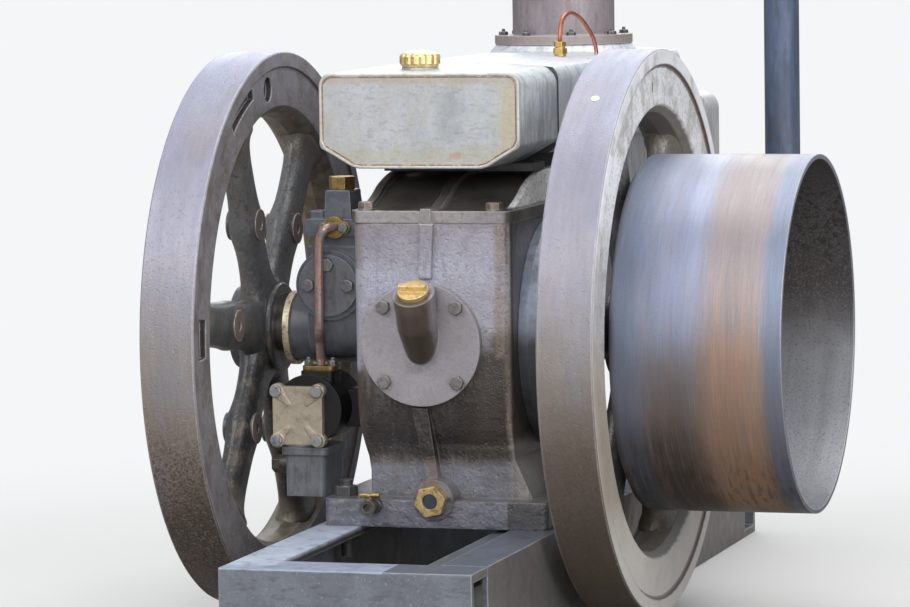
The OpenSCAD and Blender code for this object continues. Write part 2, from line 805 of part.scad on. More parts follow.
module filter_cover() {
    lug_r = 10;
    color("#8a7f6a") from_crank() translate([filter_x, -filter_front + filter_cover_t + 0.7, filter_plate_z])
        rotate([90, 0, 0]) linear_extrude(filter_cover_t) {
            round_rect(filter_plate_w - 8, filter_plate_h - 8, 6);
            for (sx = [-1, 1], sz = [-1, 1])
                translate([sx * (filter_plate_w / 2 - lug_r), sz * (filter_plate_h / 2 - lug_r)])
                    circle(lug_r);
        }
}

bowl_x = filter_x + 6;
bowl_y = -filter_front + 52;

module filter_bowl() {
    collar_h = 10;
    collar_out = 5;
    depth = 84;
    color("#3f4247") from_crank() {
        translate([bowl_x, bowl_y, bowl_top - bowl_h + 4]) round_block(bowl_w, depth, bowl_h - 4.3, 8);
        translate([bowl_x, bowl_y, bowl_top - collar_h - 0.3])
            round_block(bowl_w + 2 * collar_out, depth + 8, collar_h, 10);
    }
}

module filter_side_plug() {
    plug_z = bowl_top - 26;
    plug_x = bowl_x - bowl_w / 2 - 0.3;
    color("#6a5a4a") from_crank() translate([plug_x, -filter_front + 40, plug_z]) rotate([0, -90, 0]) {
        cylinder(r1 = 15, r2 = 12, h = 14);
        translate([0, 0, 13]) cylinder(r = 12.5, h = 12, $fn = 6);
    }
}

// Fuel tank, lofted from its flat front plate to the crowned back
chamfer_w = 52;
chamfer_h = 32;

module tank_outline(w, top, corner) {
    hull() {
        for (s = [-1, 1]) {
            translate([s * (w / 2 - corner), top - corner]) circle(corner, $fn = hull_fn);
            translate([s * (w / 2 - 8), tank_z + chamfer_h]) circle(8, $fn = hull_fn);
            translate([s * (w / 2 - chamfer_w), tank_z + 6]) circle(6, $fn = hull_fn);
        }
        translate([0, top - 1]) square([w * 0.5, 2], center = true);
    }
}

module crowned_outline(w, top, corner) {
    hull() {
        for (s = [-1, 1]) {
            translate([s * (w / 2 - corner), top - tank_crown - corner + 3]) circle(corner, $fn = hull_fn);
            translate([s * (w / 2 - 8), tank_z + chamfer_h]) circle(8, $fn = hull_fn);
            translate([s * (w / 2 - chamfer_w), tank_z + 6]) circle(6, $fn = hull_fn);
            translate([s * w * 0.2, top - 4]) circle(3, $fn = hull_fn);
        }
        translate([0, top - 3]) circle(3, $fn = hull_fn);
    }
}

cap_y = -tank_front + 82;
cap_x = hopper_mid - 22;
cap_z = tank_top + tank_crown * 0.75;
neck_r = tank_cap_r - 1;

module fuel_tank() {
    color("#b4b8b4") from_crank() {
        translate([hopper_mid, 0, 0]) hull() {
            y_sweep(-tank_front, -tank_front + 2) tank_outline(tank_w, tank_top, 16);
            y_sweep(hopper_front - tank_gap - 1, hopper_front - tank_gap)
                crowned_outline(tank_w + 4, hopper_top, 26);
        }
        translate([cap_x, cap_y, tank_top - 4]) cylinder(r = neck_r, h = cap_z - tank_top + 3.7);
    }
}

module tank_cap() {
    color("#d4ab4c") from_crank() translate([cap_x, cap_y, cap_z]) {
        cylinder(r = tank_cap_r + 2, h = 4);
        translate([0, 0, 4]) cylinder(r = tank_cap_r, h = 11);
        translate([0, 0, 15]) cylinder(r1 = tank_cap_r - 2, r2 = tank_cap_r * 0.5, h = 5);
    }
}

// Flat plate on the cheeks' tops under the tank, and a bar under the hopper
module tank_brackets() {
    plate_depth = 56;
    bar_y = 96;
    bar_depth = 26;
    left = case_x0 + 6;
    width = case_w - 10;
    color("#8f979f") from_crank() {
        translate([left, -plate_depth + 6, hood_top + 0.2]) cube([width, plate_depth, bearer_h - 0.5]);
        translate([left, bar_y, hood_top + 0.2]) cube([width, bar_depth, bearer_h + hopper_lift - 0.5]);
    }
}

// Water hopper over the cylinder, with the raised seat of the steam pipe
seat_h = 9;

module water_hopper() {
    color("#c6c9cf") from_crank() {
        translate([hopper_mid, 0, 0])
            y_sweep(hopper_front, hopper_back) hopper_outline(tank_w + 4, hopper_top);
        translate([hopper_mid, chimney_y, hopper_top - 6])
            cylinder(r1 = chimney_flange_r + 10, r2 = chimney_flange_r - 2, h = seat_h + 6);
    }
}

module hopper_outline(w, top) {
    corner = 24;
    crown_r = (w * w / 4 + tank_crown * tank_crown) / (2 * tank_crown);
    intersection() {
        union() {
            translate([0, (top + hopper_z) / 2]) round_rect(w, top - hopper_z, corner);
            translate([-w / 2 + corner, hopper_z]) square([w - 2 * corner, 20]);
        }
        translate([0, top - crown_r]) circle(crown_r, $fn = 256);
    }
}

module steam_pipe() {
    z0 = hopper_top + seat_h + 0.2;
    color("#8f8a92") from_crank() translate([hopper_mid, chimney_y, z0]) difference() {
        union() {
            cylinder(r = chimney_flange_r, h = chimney_flange_t);
            cylinder(r = chimney_r, h = chimney_h);
        }
        translate([0, 0, 6]) cylinder(r = chimney_r - chimney_wall, h = chimney_h);
    }
}

fit_x = 85;
fit_y = 285;
fit_z = hopper_top - 1.2;

module overflow_fitting() {
    color("#c9a24c") from_crank() translate([fit_x, fit_y, fit_z]) {
        cylinder(r = 8, h = 4);
        translate([0, 0, 3]) cylinder(r = 10, h = 8, $fn = 6);
        translate([0, 0, 10]) cylinder(r = 7, h = 4);
        translate([0, 0, 13]) cylinder(r = 9, h = 7, $fn = 6);
    }
}

module overflow_pipe() {
    rise = 60;
    top = fit_z + 20;
    end_x = fit_x + 27;
    end_y = fit_y + 94;
    route = [[fit_x, fit_y, top + 0.4], [fit_x, fit_y, top + 8], [fit_x + 1, fit_y + 10, top + rise * 0.5],
        [fit_x + 5, fit_y + 36, top + rise * 0.66], [fit_x + 13, fit_y + 66, top + rise * 0.5],
        [end_x - 4, end_y - 6, top + rise * 0.1], [end_x, end_y, hopper_top + 5],
        [end_x, end_y, hopper_top - 2.4]];
    color("#b0644a") from_crank() pipe(curve(route, 4), 3, 8);
}

// Cylinder block under the hopper, with its round belly and its flange on the crankcase
module cylinder_block() {
    flange_l = 26;
    flange_mid_z = 20;
    flange_h = 2 * block_drop + 30;
    color("#75787c") from_crank() translate([case_mid, 0, 0]) {
        y_sweep(case_back + 0.3, block_back) {
            translate([-block_w / 2, 0]) square([block_w, hopper_z - 0.3]);
            intersection() {
                circle(block_w / 2);
                translate([-big, -block_drop]) square([2 * big, block_drop + 1]);
            }
        }
        y_sweep(case_back + 0.3, case_back + flange_l)
            translate([0, flange_mid_z]) round_rect(case_w, flange_h, 22);
    }
}

head_z = 40;
rocker_z = 164;

module cylinder_head() {
    color("#85888c") from_crank() translate([case_mid, 0, head_z])
        y_sweep(block_back + 0.3, head_back) round_rect(block_w + 2 * head_out, head_h, 20);
}

module rocker_cover() {
    color("#c0c2c4") from_crank() translate([case_mid + 2, 0, rocker_z])
        y_sweep(head_back + 0.3, head_back + rocker_len) round_rect(rocker_w, rocker_h, 26);
}

head_side = block_w / 2 + head_out + 0.3;
elbow_r = 60;
elbow_wall = 5;

module exhaust_elbow() {
    run = exhaust_x - case_mid - head_side;
    pad_t = 12;
    color("#45484d") from_crank() translate([case_mid + head_side, exhaust_y, exhaust_z]) {
        rotate([90, 0, 90]) round_block(110, 90, pad_t, 12);
        x_cyl(exhaust_r + elbow_wall, 0, run - elbow_r);
        translate([run - elbow_r, 0, elbow_r]) rotate([90, 90, 0]) rotate_extrude(angle = 90)
            translate([elbow_r, 0]) circle(exhaust_r + elbow_wall);
        translate([run, 0, elbow_r]) cylinder(r = exhaust_r + elbow_wall + 3, h = 24);
    }
}

exhaust_z0 = exhaust_z + elbow_r + 24.2;

module exhaust_pipe() {
    color("#4a4e55") from_crank() translate([exhaust_x, exhaust_y, exhaust_z0]) difference() {
        cylinder(r = exhaust_r, h = exhaust_top - exhaust_z0);
        translate([0, 0, 10]) cylinder(r = exhaust_r - exhaust_wall, h = exhaust_top);
    }
}

module air_intake() {
    arm_r = intake_r / 2 + 1;
    arm_len = 70;
    cap_h = 18;
    arm_z = 110;
    drum_drop = 36;
    color("#4a4d52") from_crank() translate([case_mid - head_side, exhaust_y - 10, arm_z]) {
        x_cyl(arm_r, -arm_len, 0);
        translate([-arm_len, 0, -drum_drop]) cylinder(r = intake_r, h = intake_h);
        translate([-arm_len, 0, intake_h - drum_drop - 4])
            cylinder(r1 = intake_r + 4, r2 = intake_r - 18, h = cap_h);
    }
}

// Rotating parts
module crankshaft() {
    color("#8d9096") from_crank() {
        x_cyl(shaft_r, shaft_x0, shaft_x1);
    }
}

// Tapered spoke: a flat web between two round edges
module spoke() {
    r0 = hub_r - 10;
    r1 = rim_in_r - 1;
    side0 = (spoke_w - spoke_t) / 2;
    side1 = (spoke_rim_w - spoke_t) / 2;
    lean = atan((side0 - side1) / (r1 - r0));
    edge_r = spoke_t / 2 - 0.4;
    translate([0, 0, -spoke_t / 2]) linear_extrude(spoke_t)
        polygon([[r0, -side0], [r1, -side1], [r1, side1], [r0, side0]]);
    for (s = [-1, 1]) translate([r0, s * side0, 0]) rotate([0, 90, -s * lean])
        cylinder(r = edge_r, h = r1 - r0);
}

module rim_outline() {
    h = rim_w / 2;
    chamfer = 2;
    polygon([[flywheel_r, -h + chamfer], [flywheel_r, h - chamfer], [flywheel_r - chamfer, h],
        [web_r, h], [web_r - 3, h - face_recess], [rim_in_r + 4, h - face_recess],
        [rim_in_r - 6, h - 16], [rim_in_r - 10, 0], [rim_in_r - 6, -h + 16],
        [rim_in_r + 4, -h + face_recess], [web_r - 3, -h + face_recess], [web_r, -h],
        [flywheel_r - chamfer, -h]]);
}

// One wheel at its own middle, its inner face towards +Z before it is turned
module flywheel() {
    boss_len = spoke_t + boss_rise + boss_rise_in;
    bolt_hole_r = 6.5;
    difference() {
        union() {
            rotate_extrude() rim_outline();
            translate([0, 0, -hub_out + wheel_mid]) cylinder(r = hub_r, h = hub_len);
            for (k = [0 : 5]) rotate([0, 0, spoke_phase + 60 * k]) translate([0, 0, spoke_in]) {
                spoke();
                translate([boss_pitch_r, 0, -spoke_t / 2 - boss_rise]) cylinder(r = boss_r, h = boss_len);
            }
        }
        translate([0, 0, -hub_len]) cylinder(r = shaft_r, h = 2 * hub_len);
        for (k = [0 : 5]) rotate([0, 0, spoke_phase + 60 * k])
            translate([boss_pitch_r, 0, -boss_len]) cylinder(r = bolt_hole_r, h = 2 * boss_len);
    }
}

// Cast pockets in the left wheel's inner face
pocket_deep = 9;
pocket_floor = rim_w / 2 - face_recess - pocket_deep;

module round_pocket(angle, r, pocket_r) {
    rotate([0, 0, angle]) translate([r, 0, pocket_floor]) cylinder(r = pocket_r, h = rim_w);
}

module long_pocket(angle, sweep, r0, r1) {
    rotate([0, 0, angle]) translate([0, 0, pocket_floor]) rotate_extrude(angle = sweep)
        translate([r0, 0]) square([r1 - r0, rim_w]);
}

module flywheel_left() {
    color("#77727a") from_crank() translate([-wheel_mid, 0, 0]) rotate([90, 0, 90]) difference() {
        flywheel();
        round_pocket(99, rim_in_r + 31, 17);
        long_pocket(109, 16, rim_in_r + 35, rim_in_r + 51);
        long_pocket(173, 9, rim_in_r + 18, rim_in_r + 52);
    }
}

module flywheel_right() {
    color("#77727a") from_crank() translate([wheel_mid, 0, 0]) rotate([90, 0, 90])
        mirror([0, 0, 1]) flywheel();
}

// Belt pulley bolted to the spokes' bosses, with a round corner towards the wheel
module belt_pulley() {
    corner_r = pulley_x0 - pulley_web_x;
    bore_r = hub_r + pulley_spigot;
    inner_r = pulley_r - pulley_wall;
    boss_r_out = hub_r + 14;
    steps = 5;
    corner = [for (i = [0 : steps]) let (a = 90 * i / steps)
        [pulley_r - corner_r + corner_r * sin(a), corner_r * (1 - cos(a))]];
    color("#7d7c88") from_crank() translate([pulley_web_x, 0, 0]) rotate([90, 0, 90]) rotate_extrude()
        polygon(concat([[bore_r, 0]], corner, [[pulley_r, corner_r + pulley_w],
            [inner_r, corner_r + pulley_w], [inner_r, pulley_web], [boss_r_out, pulley_web],
            [boss_r_out, 2 * pulley_web], [bore_r, 2 * pulley_web]]));
}

frame_rail_left();
frame_rail_right();
front_cross_beam();
rear_cross_beam();
inner_ledge();
holding_down_bolts();
crankcase();
crankcase_top_cover();
round_front_cover();
oil_filler_cap();
sight_glass_nut();
sight_glass();
drain_cock();
drain_cock_handle();
bearing_housing();
governor_housing();
governor_plate();
governor_end_flange();
pump_block();
pump_plug();
pipe_flange();
fuel_pipe();
filter_housing();
filter_inlet_flange();
filter_cover();
filter_bowl();
filter_side_plug();
fuel_tank();
tank_cap();
tank_brackets();
water_hopper();
steam_pipe();
overflow_fitting();
overflow_pipe();
cylinder_block();
cylinder_head();
rocker_cover();
exhaust_elbow();
exhaust_pipe();
air_intake();
crankshaft();
flywheel_left();
flywheel_right();
belt_pulley();
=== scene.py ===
import math
import random

import bmesh
import bpy
from mathutils import Matrix, Vector


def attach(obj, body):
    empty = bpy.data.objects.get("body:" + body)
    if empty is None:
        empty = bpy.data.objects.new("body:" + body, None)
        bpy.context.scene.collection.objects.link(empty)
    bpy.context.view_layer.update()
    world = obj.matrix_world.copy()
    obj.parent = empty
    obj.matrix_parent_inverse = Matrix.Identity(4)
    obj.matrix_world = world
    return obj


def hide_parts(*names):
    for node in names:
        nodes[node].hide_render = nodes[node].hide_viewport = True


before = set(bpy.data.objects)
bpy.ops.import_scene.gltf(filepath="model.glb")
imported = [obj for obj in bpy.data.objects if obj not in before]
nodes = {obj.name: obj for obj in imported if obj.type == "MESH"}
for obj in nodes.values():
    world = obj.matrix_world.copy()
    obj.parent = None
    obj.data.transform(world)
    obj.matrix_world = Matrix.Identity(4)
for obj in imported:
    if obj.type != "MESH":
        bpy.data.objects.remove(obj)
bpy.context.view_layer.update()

random.seed(7)
mm = 0.001

# Crank axis, midway between the flywheels, in the part's frame
crank = Vector((-0.1035, -0.184, 0.401))


def fromCrank(x, y, z):
    return crank + Vector((x, y, z)) * mm


def hexColour(text):
    parts = [int(text[i:i + 2], 16) / 255 for i in (1, 3, 5)]
    return [p / 12.92 if p <= 0.04045 else ((p + 0.055) / 1.055) ** 2.4 for p in parts] + [1.0]


# Adds one node; each setting is a field, an input's value, or a node or socket that feeds that input
def addNode(tree, kind, settings=None):
    node = tree.nodes.new(kind)
    for key, value in (settings or {}).items():
        if isinstance(value, bpy.types.Node):
            value = value.outputs[0]
        if isinstance(value, bpy.types.NodeSocket):
            tree.links.new(value, node.inputs[key])
        elif isinstance(key, int) or key in node.inputs:
            node.inputs[key].default_value = value
        else:
            setattr(node, key, value)
    return node


# Camera, solved from both flywheels, the pulley and the frame's straight edges

cameraSet = {"place": (1716.71, -5715.24, 557.70), "azimuth": 16.6136, "elevation": 5.0104, "roll": -0.8782,
             "lens": 176.21, "film": 36.0, "reach": 50}

az, el, roll = [math.radians(cameraSet[k]) for k in ("azimuth", "elevation", "roll")]
forward = Vector((-math.sin(az) * math.cos(el), math.cos(az) * math.cos(el), -math.sin(el)))
level = Vector((math.cos(az), math.sin(az), 0))
upright = level.cross(forward)
right = math.cos(roll) * level + math.sin(roll) * upright
up = -math.sin(roll) * level + math.cos(roll) * upright
camData = bpy.data.cameras.new("camera")
camData.lens = cameraSet["lens"]
camData.sensor_width = cameraSet["film"]
camData.clip_end = cameraSet["reach"]
camera = bpy.data.objects.new("camera", camData)
turn = Matrix((right, up, -forward)).transposed().to_4x4()
camera.matrix_world = Matrix.Translation(fromCrank(*cameraSet["place"])) @ turn
bpy.context.scene.collection.objects.link(camera)
bpy.context.scene.camera = camera
print("camera set")

# Light and floor

lightSet = {"key": {"at": (-2.4, -3.6, 3.6), "size": 3.2, "power": 138},
            "right": {"at": (3.9, -2.6, 2.3), "size": 3.0, "power": 155},
            "front": {"at": (0.9, -5.0, 1.9), "size": 2.6, "power": 80},
            "top": {"at": (0.3, 0.6, 4.4), "size": 3.4, "power": 128},
            "back": {"at": (-1.0, 4.4, 3.0), "size": 3.0, "power": 80}}
lightAim = Vector((0.05, 0, 0.45))
for name, spec in lightSet.items():
    lamp = bpy.data.lights.new(name, "AREA")
    lamp.size = spec["size"]
    lamp.energy = spec["power"]
    lampObject = bpy.data.objects.new(name, lamp)
    lampObject.location = spec["at"]
    aim = lightAim - Vector(spec["at"])
    lampObject.rotation_euler = aim.to_track_quat("-Z", "Y").to_euler()
    bpy.context.scene.collection.objects.link(lampObject)

bpy.context.scene.view_settings.view_transform = "Standard"
paper = hexColour("#f5f6f7")


# One where the camera looks straight or through glass
def seenRays(tree):
    rays = addNode(tree, "ShaderNodeLightPath")
    return addNode(tree, "ShaderNodeMath", {"operation": "MAXIMUM", 0: rays.outputs["Is Camera Ray"],
                                            1: rays.outputs["Is Transmission Ray"]})


# Pale above, dull below, so that glossy sides show a soft horizon
worldSet = {"low": "#6f6a64", "high": "#e4eaf2", "horizon": (-0.18, 0.22), "strength": 0.62}
world = bpy.data.worlds.new("studio")
bpy.context.scene.world = world
world.use_nodes = True
world.node_tree.nodes.clear()
worldTree = world.node_tree
direction = addNode(worldTree, "ShaderNodeTexCoord").outputs["Generated"]
height = addNode(worldTree, "ShaderNodeSeparateXYZ", {0: direction}).outputs[2]
rise = addNode(worldTree, "ShaderNodeMapRange", {"Value": height, "From Min": worldSet["horizon"][0],
                                                 "From Max": worldSet["horizon"][1]})
blend = addNode(worldTree, "ShaderNodeMix", {"data_type": "RGBA", 0: rise, 6: hexColour(worldSet["low"]),
                                             7: hexColour(worldSet["high"])}).outputs[2]
soft = addNode(worldTree, "ShaderNodeBackground", {"Color": blend, "Strength": worldSet["strength"]})
plain = addNode(worldTree, "ShaderNodeBackground", {"Color": paper, "Strength": 1.0})
both = addNode(worldTree, "ShaderNodeMixShader", {0: seenRays(worldTree), 1: soft, 2: plain})
addNode(worldTree, "ShaderNodeOutputWorld", {0: both})

floorSet = {"size": 16.0, "colour": "#c6c5c3", "bounce": "#8d8781", "near": 0.8, "far": 2.0, "drop": 0.0005}
floorMesh = bpy.data.meshes.new("floor")
half = floorSet["size"] / 2
floorCorners = [(-half, -half, 0), (half, -half, 0), (half, half, 0), (-half, half, 0)]
floorMesh.from_pydata(floorCorners, [], [(0, 1, 2, 3)])
floor = bpy.data.objects.new("floor", floorMesh)
floor.location.z = -floorSet["drop"]
bpy.context.scene.collection.objects.link(floor)

# The floor keeps the shadow near the engine and turns into the background's own colour further out
floorMaterial = bpy.data.materials.new("paleFloor")
floorMaterial.use_nodes = True
tree = floorMaterial.node_tree
tree.nodes.clear()
seen = seenRays(tree)
tone = addNode(tree, "ShaderNodeMix", {"data_type": "RGBA", 0: seen, 6: hexColour(floorSet["bounce"]),
                                       7: hexColour(floorSet["colour"])}).outputs[2]
matt = addNode(tree, "ShaderNodeBsdfPrincipled", {"Base Color": tone, "Roughness": 0.9,
                                                  "Specular IOR Level": 0.2})
spot = addNode(tree, "ShaderNodeTexCoord").outputs["Object"]
away = addNode(tree, "ShaderNodeVectorMath", {"operation": "LENGTH", 0: spot}).outputs[1]
fade = addNode(tree, "ShaderNodeMapRange", {"interpolation_type": "SMOOTHSTEP", "Value": away,
                                            "From Min": floorSet["near"], "From Max": floorSet["far"]})
share = addNode(tree, "ShaderNodeMath", {"operation": "MULTIPLY", 0: fade, 1: seen})
sheet = addNode(tree, "ShaderNodeEmission", {"Color": paper, "Strength": 1.0})
mixed = addNode(tree, "ShaderNodeMixShader", {0: share, 1: matt, 2: sheet})
addNode(tree, "ShaderNodeOutputMaterial", {0: mixed})
floorMesh.materials.append(floorMaterial)
print("light and floor set")


# Masks and layers that the materials below are made of. Lengths are in mm.

# Where a point lies, in mm from the crank axis, turning with the piece
def placeMm(tree):
    spot = addNode(tree, "ShaderNodeTexCoord").outputs["Object"]
    moved = addNode(tree, "ShaderNodeVectorMath", {"operation": "SUBTRACT", 0: spot, 1: crank})
    return addNode(tree, "ShaderNodeVectorMath", {"operation": "SCALE", 0: moved, "Scale": 1 / mm})


# Noise with patches of about the given size, stretched along the axes by the given factors; another shift
# gives another pattern
def patches(tree, place, size, stretch=(1, 1, 1), detail=4.0, rough=0.55, shift=0.0):
    squeezed = addNode(tree, "ShaderNodeVectorMath", {"operation": "MULTIPLY_ADD", 0: place,
                                                      1: [1 / s for s in stretch],
                                                      2: (shift * 9, shift * 17, shift * 6)})
    return addNode(tree, "ShaderNodeTexNoise", {"Vector": squeezed, "Scale": 1 / size, "Detail": detail,
                                                "Roughness": rough})


# An amount times soft steps, each of which turns a value into 0 to 1 from one level to another
def softSteps(tree, amount, steps):
    mask = amount
    for value, start, end in steps:
        step = addNode(tree, "ShaderNodeMapRange", {"interpolation_type": "SMOOTHSTEP", "Value": value,
                                                    "From Min": start, "From Max": end})
        mask = addNode(tree, "ShaderNodeMath", {"operation": "MULTIPLY", 0: mask, 1: step})
    return mask


# Colours at given levels, from the lowest up
def rampColour(tree, value, stops):
    low, high = stops[0][0], stops[-1][0]
    share = addNode(tree, "ShaderNodeMapRange", {"Value": value, "From Min": low, "From Max": high})
    ramp = addNode(tree, "ShaderNodeValToRGB", {0: share})
    elements = ramp.color_ramp.elements
    while len(elements) < len(stops):
        elements.new(0.5)
    for element, (stop, colour) in zip(elements, stops):
        element.position = (stop - low) / (high - low)
        element.color = hexColour(colour)
    return ramp.outputs[0]


# One layer of dirt, rub or reflection: its colour, how much of it shows, and where
def layer(colour, amount, **where):
    return dict(where, colour=colour, amount=amount)


# Where a layer shows: inside its box and its ring round the crank axis, broken up by its noise
def layerMask(tree, place, axes, spec):
    steps = []
    if "noise" in spec:
        size, low, high = spec["noise"]
        lines = patches(tree, place, size, spec.get("stretch", (1, 1, 1)), 5, 0.6, spec.get("shift", 1.0))
        steps.append((lines, low, high))
    if "box" in spec:
        edge, ragged = spec.get("edge", 12), spec.get("ragged", 10)
        noise = patches(tree, place, spec.get("wander", 35), shift=3.3)
        wander = addNode(tree, "ShaderNodeMath", {"operation": "MULTIPLY_ADD", 0: noise, 1: 4 * ragged,
                                                  2: -2 * ragged})
        for index, limits in enumerate(spec["box"]):
            if limits is None:
                continue
            value = addNode(tree, "ShaderNodeMath", {"operation": "ADD", 0: axes.outputs[index], 1: wander})
            steps.append((value, limits[0] - edge, limits[0] + edge))
            steps.append((value, limits[1] + edge, limits[1] - edge))
    if "ring" in spec:
        inner, outer, edge = spec["ring"]
        across = addNode(tree, "ShaderNodeCombineXYZ", {1: axes.outputs[1], 2: axes.outputs[2]})
        distance = addNode(tree, "ShaderNodeVectorMath", {"operation": "LENGTH", 0: across}).outputs[1]
        if "ringRagged" in spec:
            ragged = spec["ringRagged"]
            noise = patches(tree, place, 12, shift=4.4)
            wander = addNode(tree, "ShaderNodeMath", {"operation": "MULTIPLY_ADD", 0: noise, 1: 4 * ragged,
                                                      2: -2 * ragged})
            distance = addNode(tree, "ShaderNodeMath", {"operation": "ADD", 0: distance, 1: wander})
        steps.append((distance, inner - edge, inner + edge))
        steps.append((distance, outer + edge, outer - edge))
    return softSteps(tree, spec["amount"], steps)


# What all surfaces share: levels of the noise between which clouds, pits and smears set in, the size of the
# smears in mm, and how sharp an edge has to be before it is rubbed
surfaceSet = {"clouds": (0.38, 0.62), "tone": (0.7, 1.3), "pits": (0.62, 0.74), "smears": (0.3, 0.7),
              "smearSize": 22, "rubbed": (1.04, 0.93), "rubSize": 9, "rubBreak": 0.12, "oilGloss": 0.28}


# The surface's unevenness: grain, slow waves of cast or beaten metal, and small sharp pits of a sand casting
def surfaceHeight(tree, place, recipe):
    height = patches(tree, place, recipe["grain"], recipe.get("grainStretch", (1, 1, 1)), 3, 0.6)
    if "waves" in recipe:
        size, amount = recipe["waves"]
        slow = patches(tree, place, size, detail=2, shift=9)
        height = addNode(tree, "ShaderNodeMath", {"operation": "MULTIPLY_ADD", 0: slow, 1: amount, 2: height})
    if "pits" in recipe:
        size, amount = recipe["pits"]
        holes = patches(tree, place, size, detail=2, rough=0.4, shift=13)
        pitted = softSteps(tree, -amount, [(holes, *surfaceSet["pits"])])
        height = addNode(tree, "ShaderNodeMath", {"operation": "ADD", 0: pitted, 1: height})
    return height


# A metal or painted surface from its recipe
def makeSurface(name, recipe):
    material = bpy.data.materials.new(name)
    material.use_nodes = True
    tree = material.node_tree
    tree.nodes.clear()
    place = placeMm(tree)
    axes = addNode(tree, "ShaderNodeSeparateXYZ", {0: place})
    stretch = recipe.get("stretch", (1, 1, 1))
    broad = patches(tree, place, recipe["patch"], stretch, 3, 0.5)
    fine = patches(tree, place, recipe["patch"] / 8, stretch, 6, 0.6, shift=8)

    # (mask, colour) pairs that are laid over the ground colour one after another
    coats = [(layerMask(tree, place, axes, spec), spec["colour"]) for spec in recipe.get("layers", [])]
    # Colour by height: in the recipes below it carries painted light and shade as well as the parts' own
    # tones
    if "levels" in recipe:
        ragged = recipe["levelRagged"]
        wander = addNode(tree, "ShaderNodeMath", {"operation": "MULTIPLY_ADD", 0: broad, 1: 2 * ragged,
                                                  2: -ragged})
        rise = addNode(tree, "ShaderNodeMath", {"operation": "ADD", 0: axes.outputs[2], 1: wander})
        colour = rampColour(tree, rise, recipe["levels"])
    else:
        colour = hexColour(recipe["colour"])
        clouds = softSteps(tree, 1.0, [(broad, *surfaceSet["clouds"])])
        coats.insert(0, (clouds, recipe["second"]))
    for mask, over in coats:
        colour = addNode(tree, "ShaderNodeMix", {"data_type": "RGBA", 0: mask, 6: colour,
                                                 7: hexColour(over)}).outputs[2]
    vary = recipe.get("vary", 0.16)
    low, high = surfaceSet["tone"]
    shade = addNode(tree, "ShaderNodeMath", {"operation": "ADD", 0: broad, 1: fine})
    tone = addNode(tree, "ShaderNodeMapRange", {"Value": shade, "From Min": low, "From Max": high,
                                                "To Min": 1 - vary, "To Max": 1 + vary})
    colour = addNode(tree, "ShaderNodeVectorMath", {"operation": "SCALE", 0: colour, "Scale": tone})

    if "wear" in recipe:  # edges rubbed bright or catching dust
        width, rubbed, amount = recipe["wear"]
        rounded = addNode(tree, "ShaderNodeBevel", {"samples": 4, "Radius": width * mm})
        flat = addNode(tree, "ShaderNodeNewGeometry").outputs["Normal"]
        bend = addNode(tree, "ShaderNodeVectorMath", {"operation": "DOT_PRODUCT", 0: rounded, 1: flat})
        broken = patches(tree, place, surfaceSet["rubSize"], detail=6, shift=6)
        bent = addNode(tree, "ShaderNodeMath", {"operation": "MULTIPLY_ADD", 0: broken,
                                                1: surfaceSet["rubBreak"], 2: bend.outputs["Value"]})
        edges = softSteps(tree, amount, [(bent, *surfaceSet["rubbed"])])
        colour = addNode(tree, "ShaderNodeMix", {"data_type": "RGBA", 0: edges, 6: colour,
                                                 7: hexColour(rubbed)}).outputs[2]

    low, high = surfaceSet["smears"]
    smears = patches(tree, place, surfaceSet["smearSize"], stretch, 5, shift=4)
    gloss = addNode(tree, "ShaderNodeMapRange", {"Value": smears, "From Min": low, "From Max": high,
                                                 "To Min": recipe["rough"][0], "To Max": recipe["rough"][1]})
    bump = addNode(tree, "ShaderNodeBump", {"Height": surfaceHeight(tree, place, recipe), "Strength": 1.0,
                                            "Distance": recipe["depth"] * mm})
    soften = recipe.get("soften", 1.2)
    if soften:  # radius of the edges' rounding
        eased = addNode(tree, "ShaderNodeBevel", {"samples": 4, "Radius": soften * mm})
        tree.links.new(eased.outputs[0], bump.inputs["Normal"])
    shader = addNode(tree, "ShaderNodeBsdfPrincipled", {"Base Color": colour, "Roughness": gloss,
                                                        "Metallic": recipe["metal"], "Normal": bump})
    if "coat" in recipe:  # film of oil
        shader.inputs["Coat Weight"].default_value = recipe["coat"]
        shader.inputs["Coat Roughness"].default_value = surfaceSet["oilGloss"]
    addNode(tree, "ShaderNodeOutputMaterial", {0: shader})
    material.diffuse_color = hexColour(recipe["levels"][len(recipe["levels"]) // 2][1] if "levels" in recipe
                                       else recipe["colour"])
    return material


def dress(material, *names):
    for name in names:
        mesh = nodes[name].data
        mesh.materials.clear()
        mesh.materials.append(material)
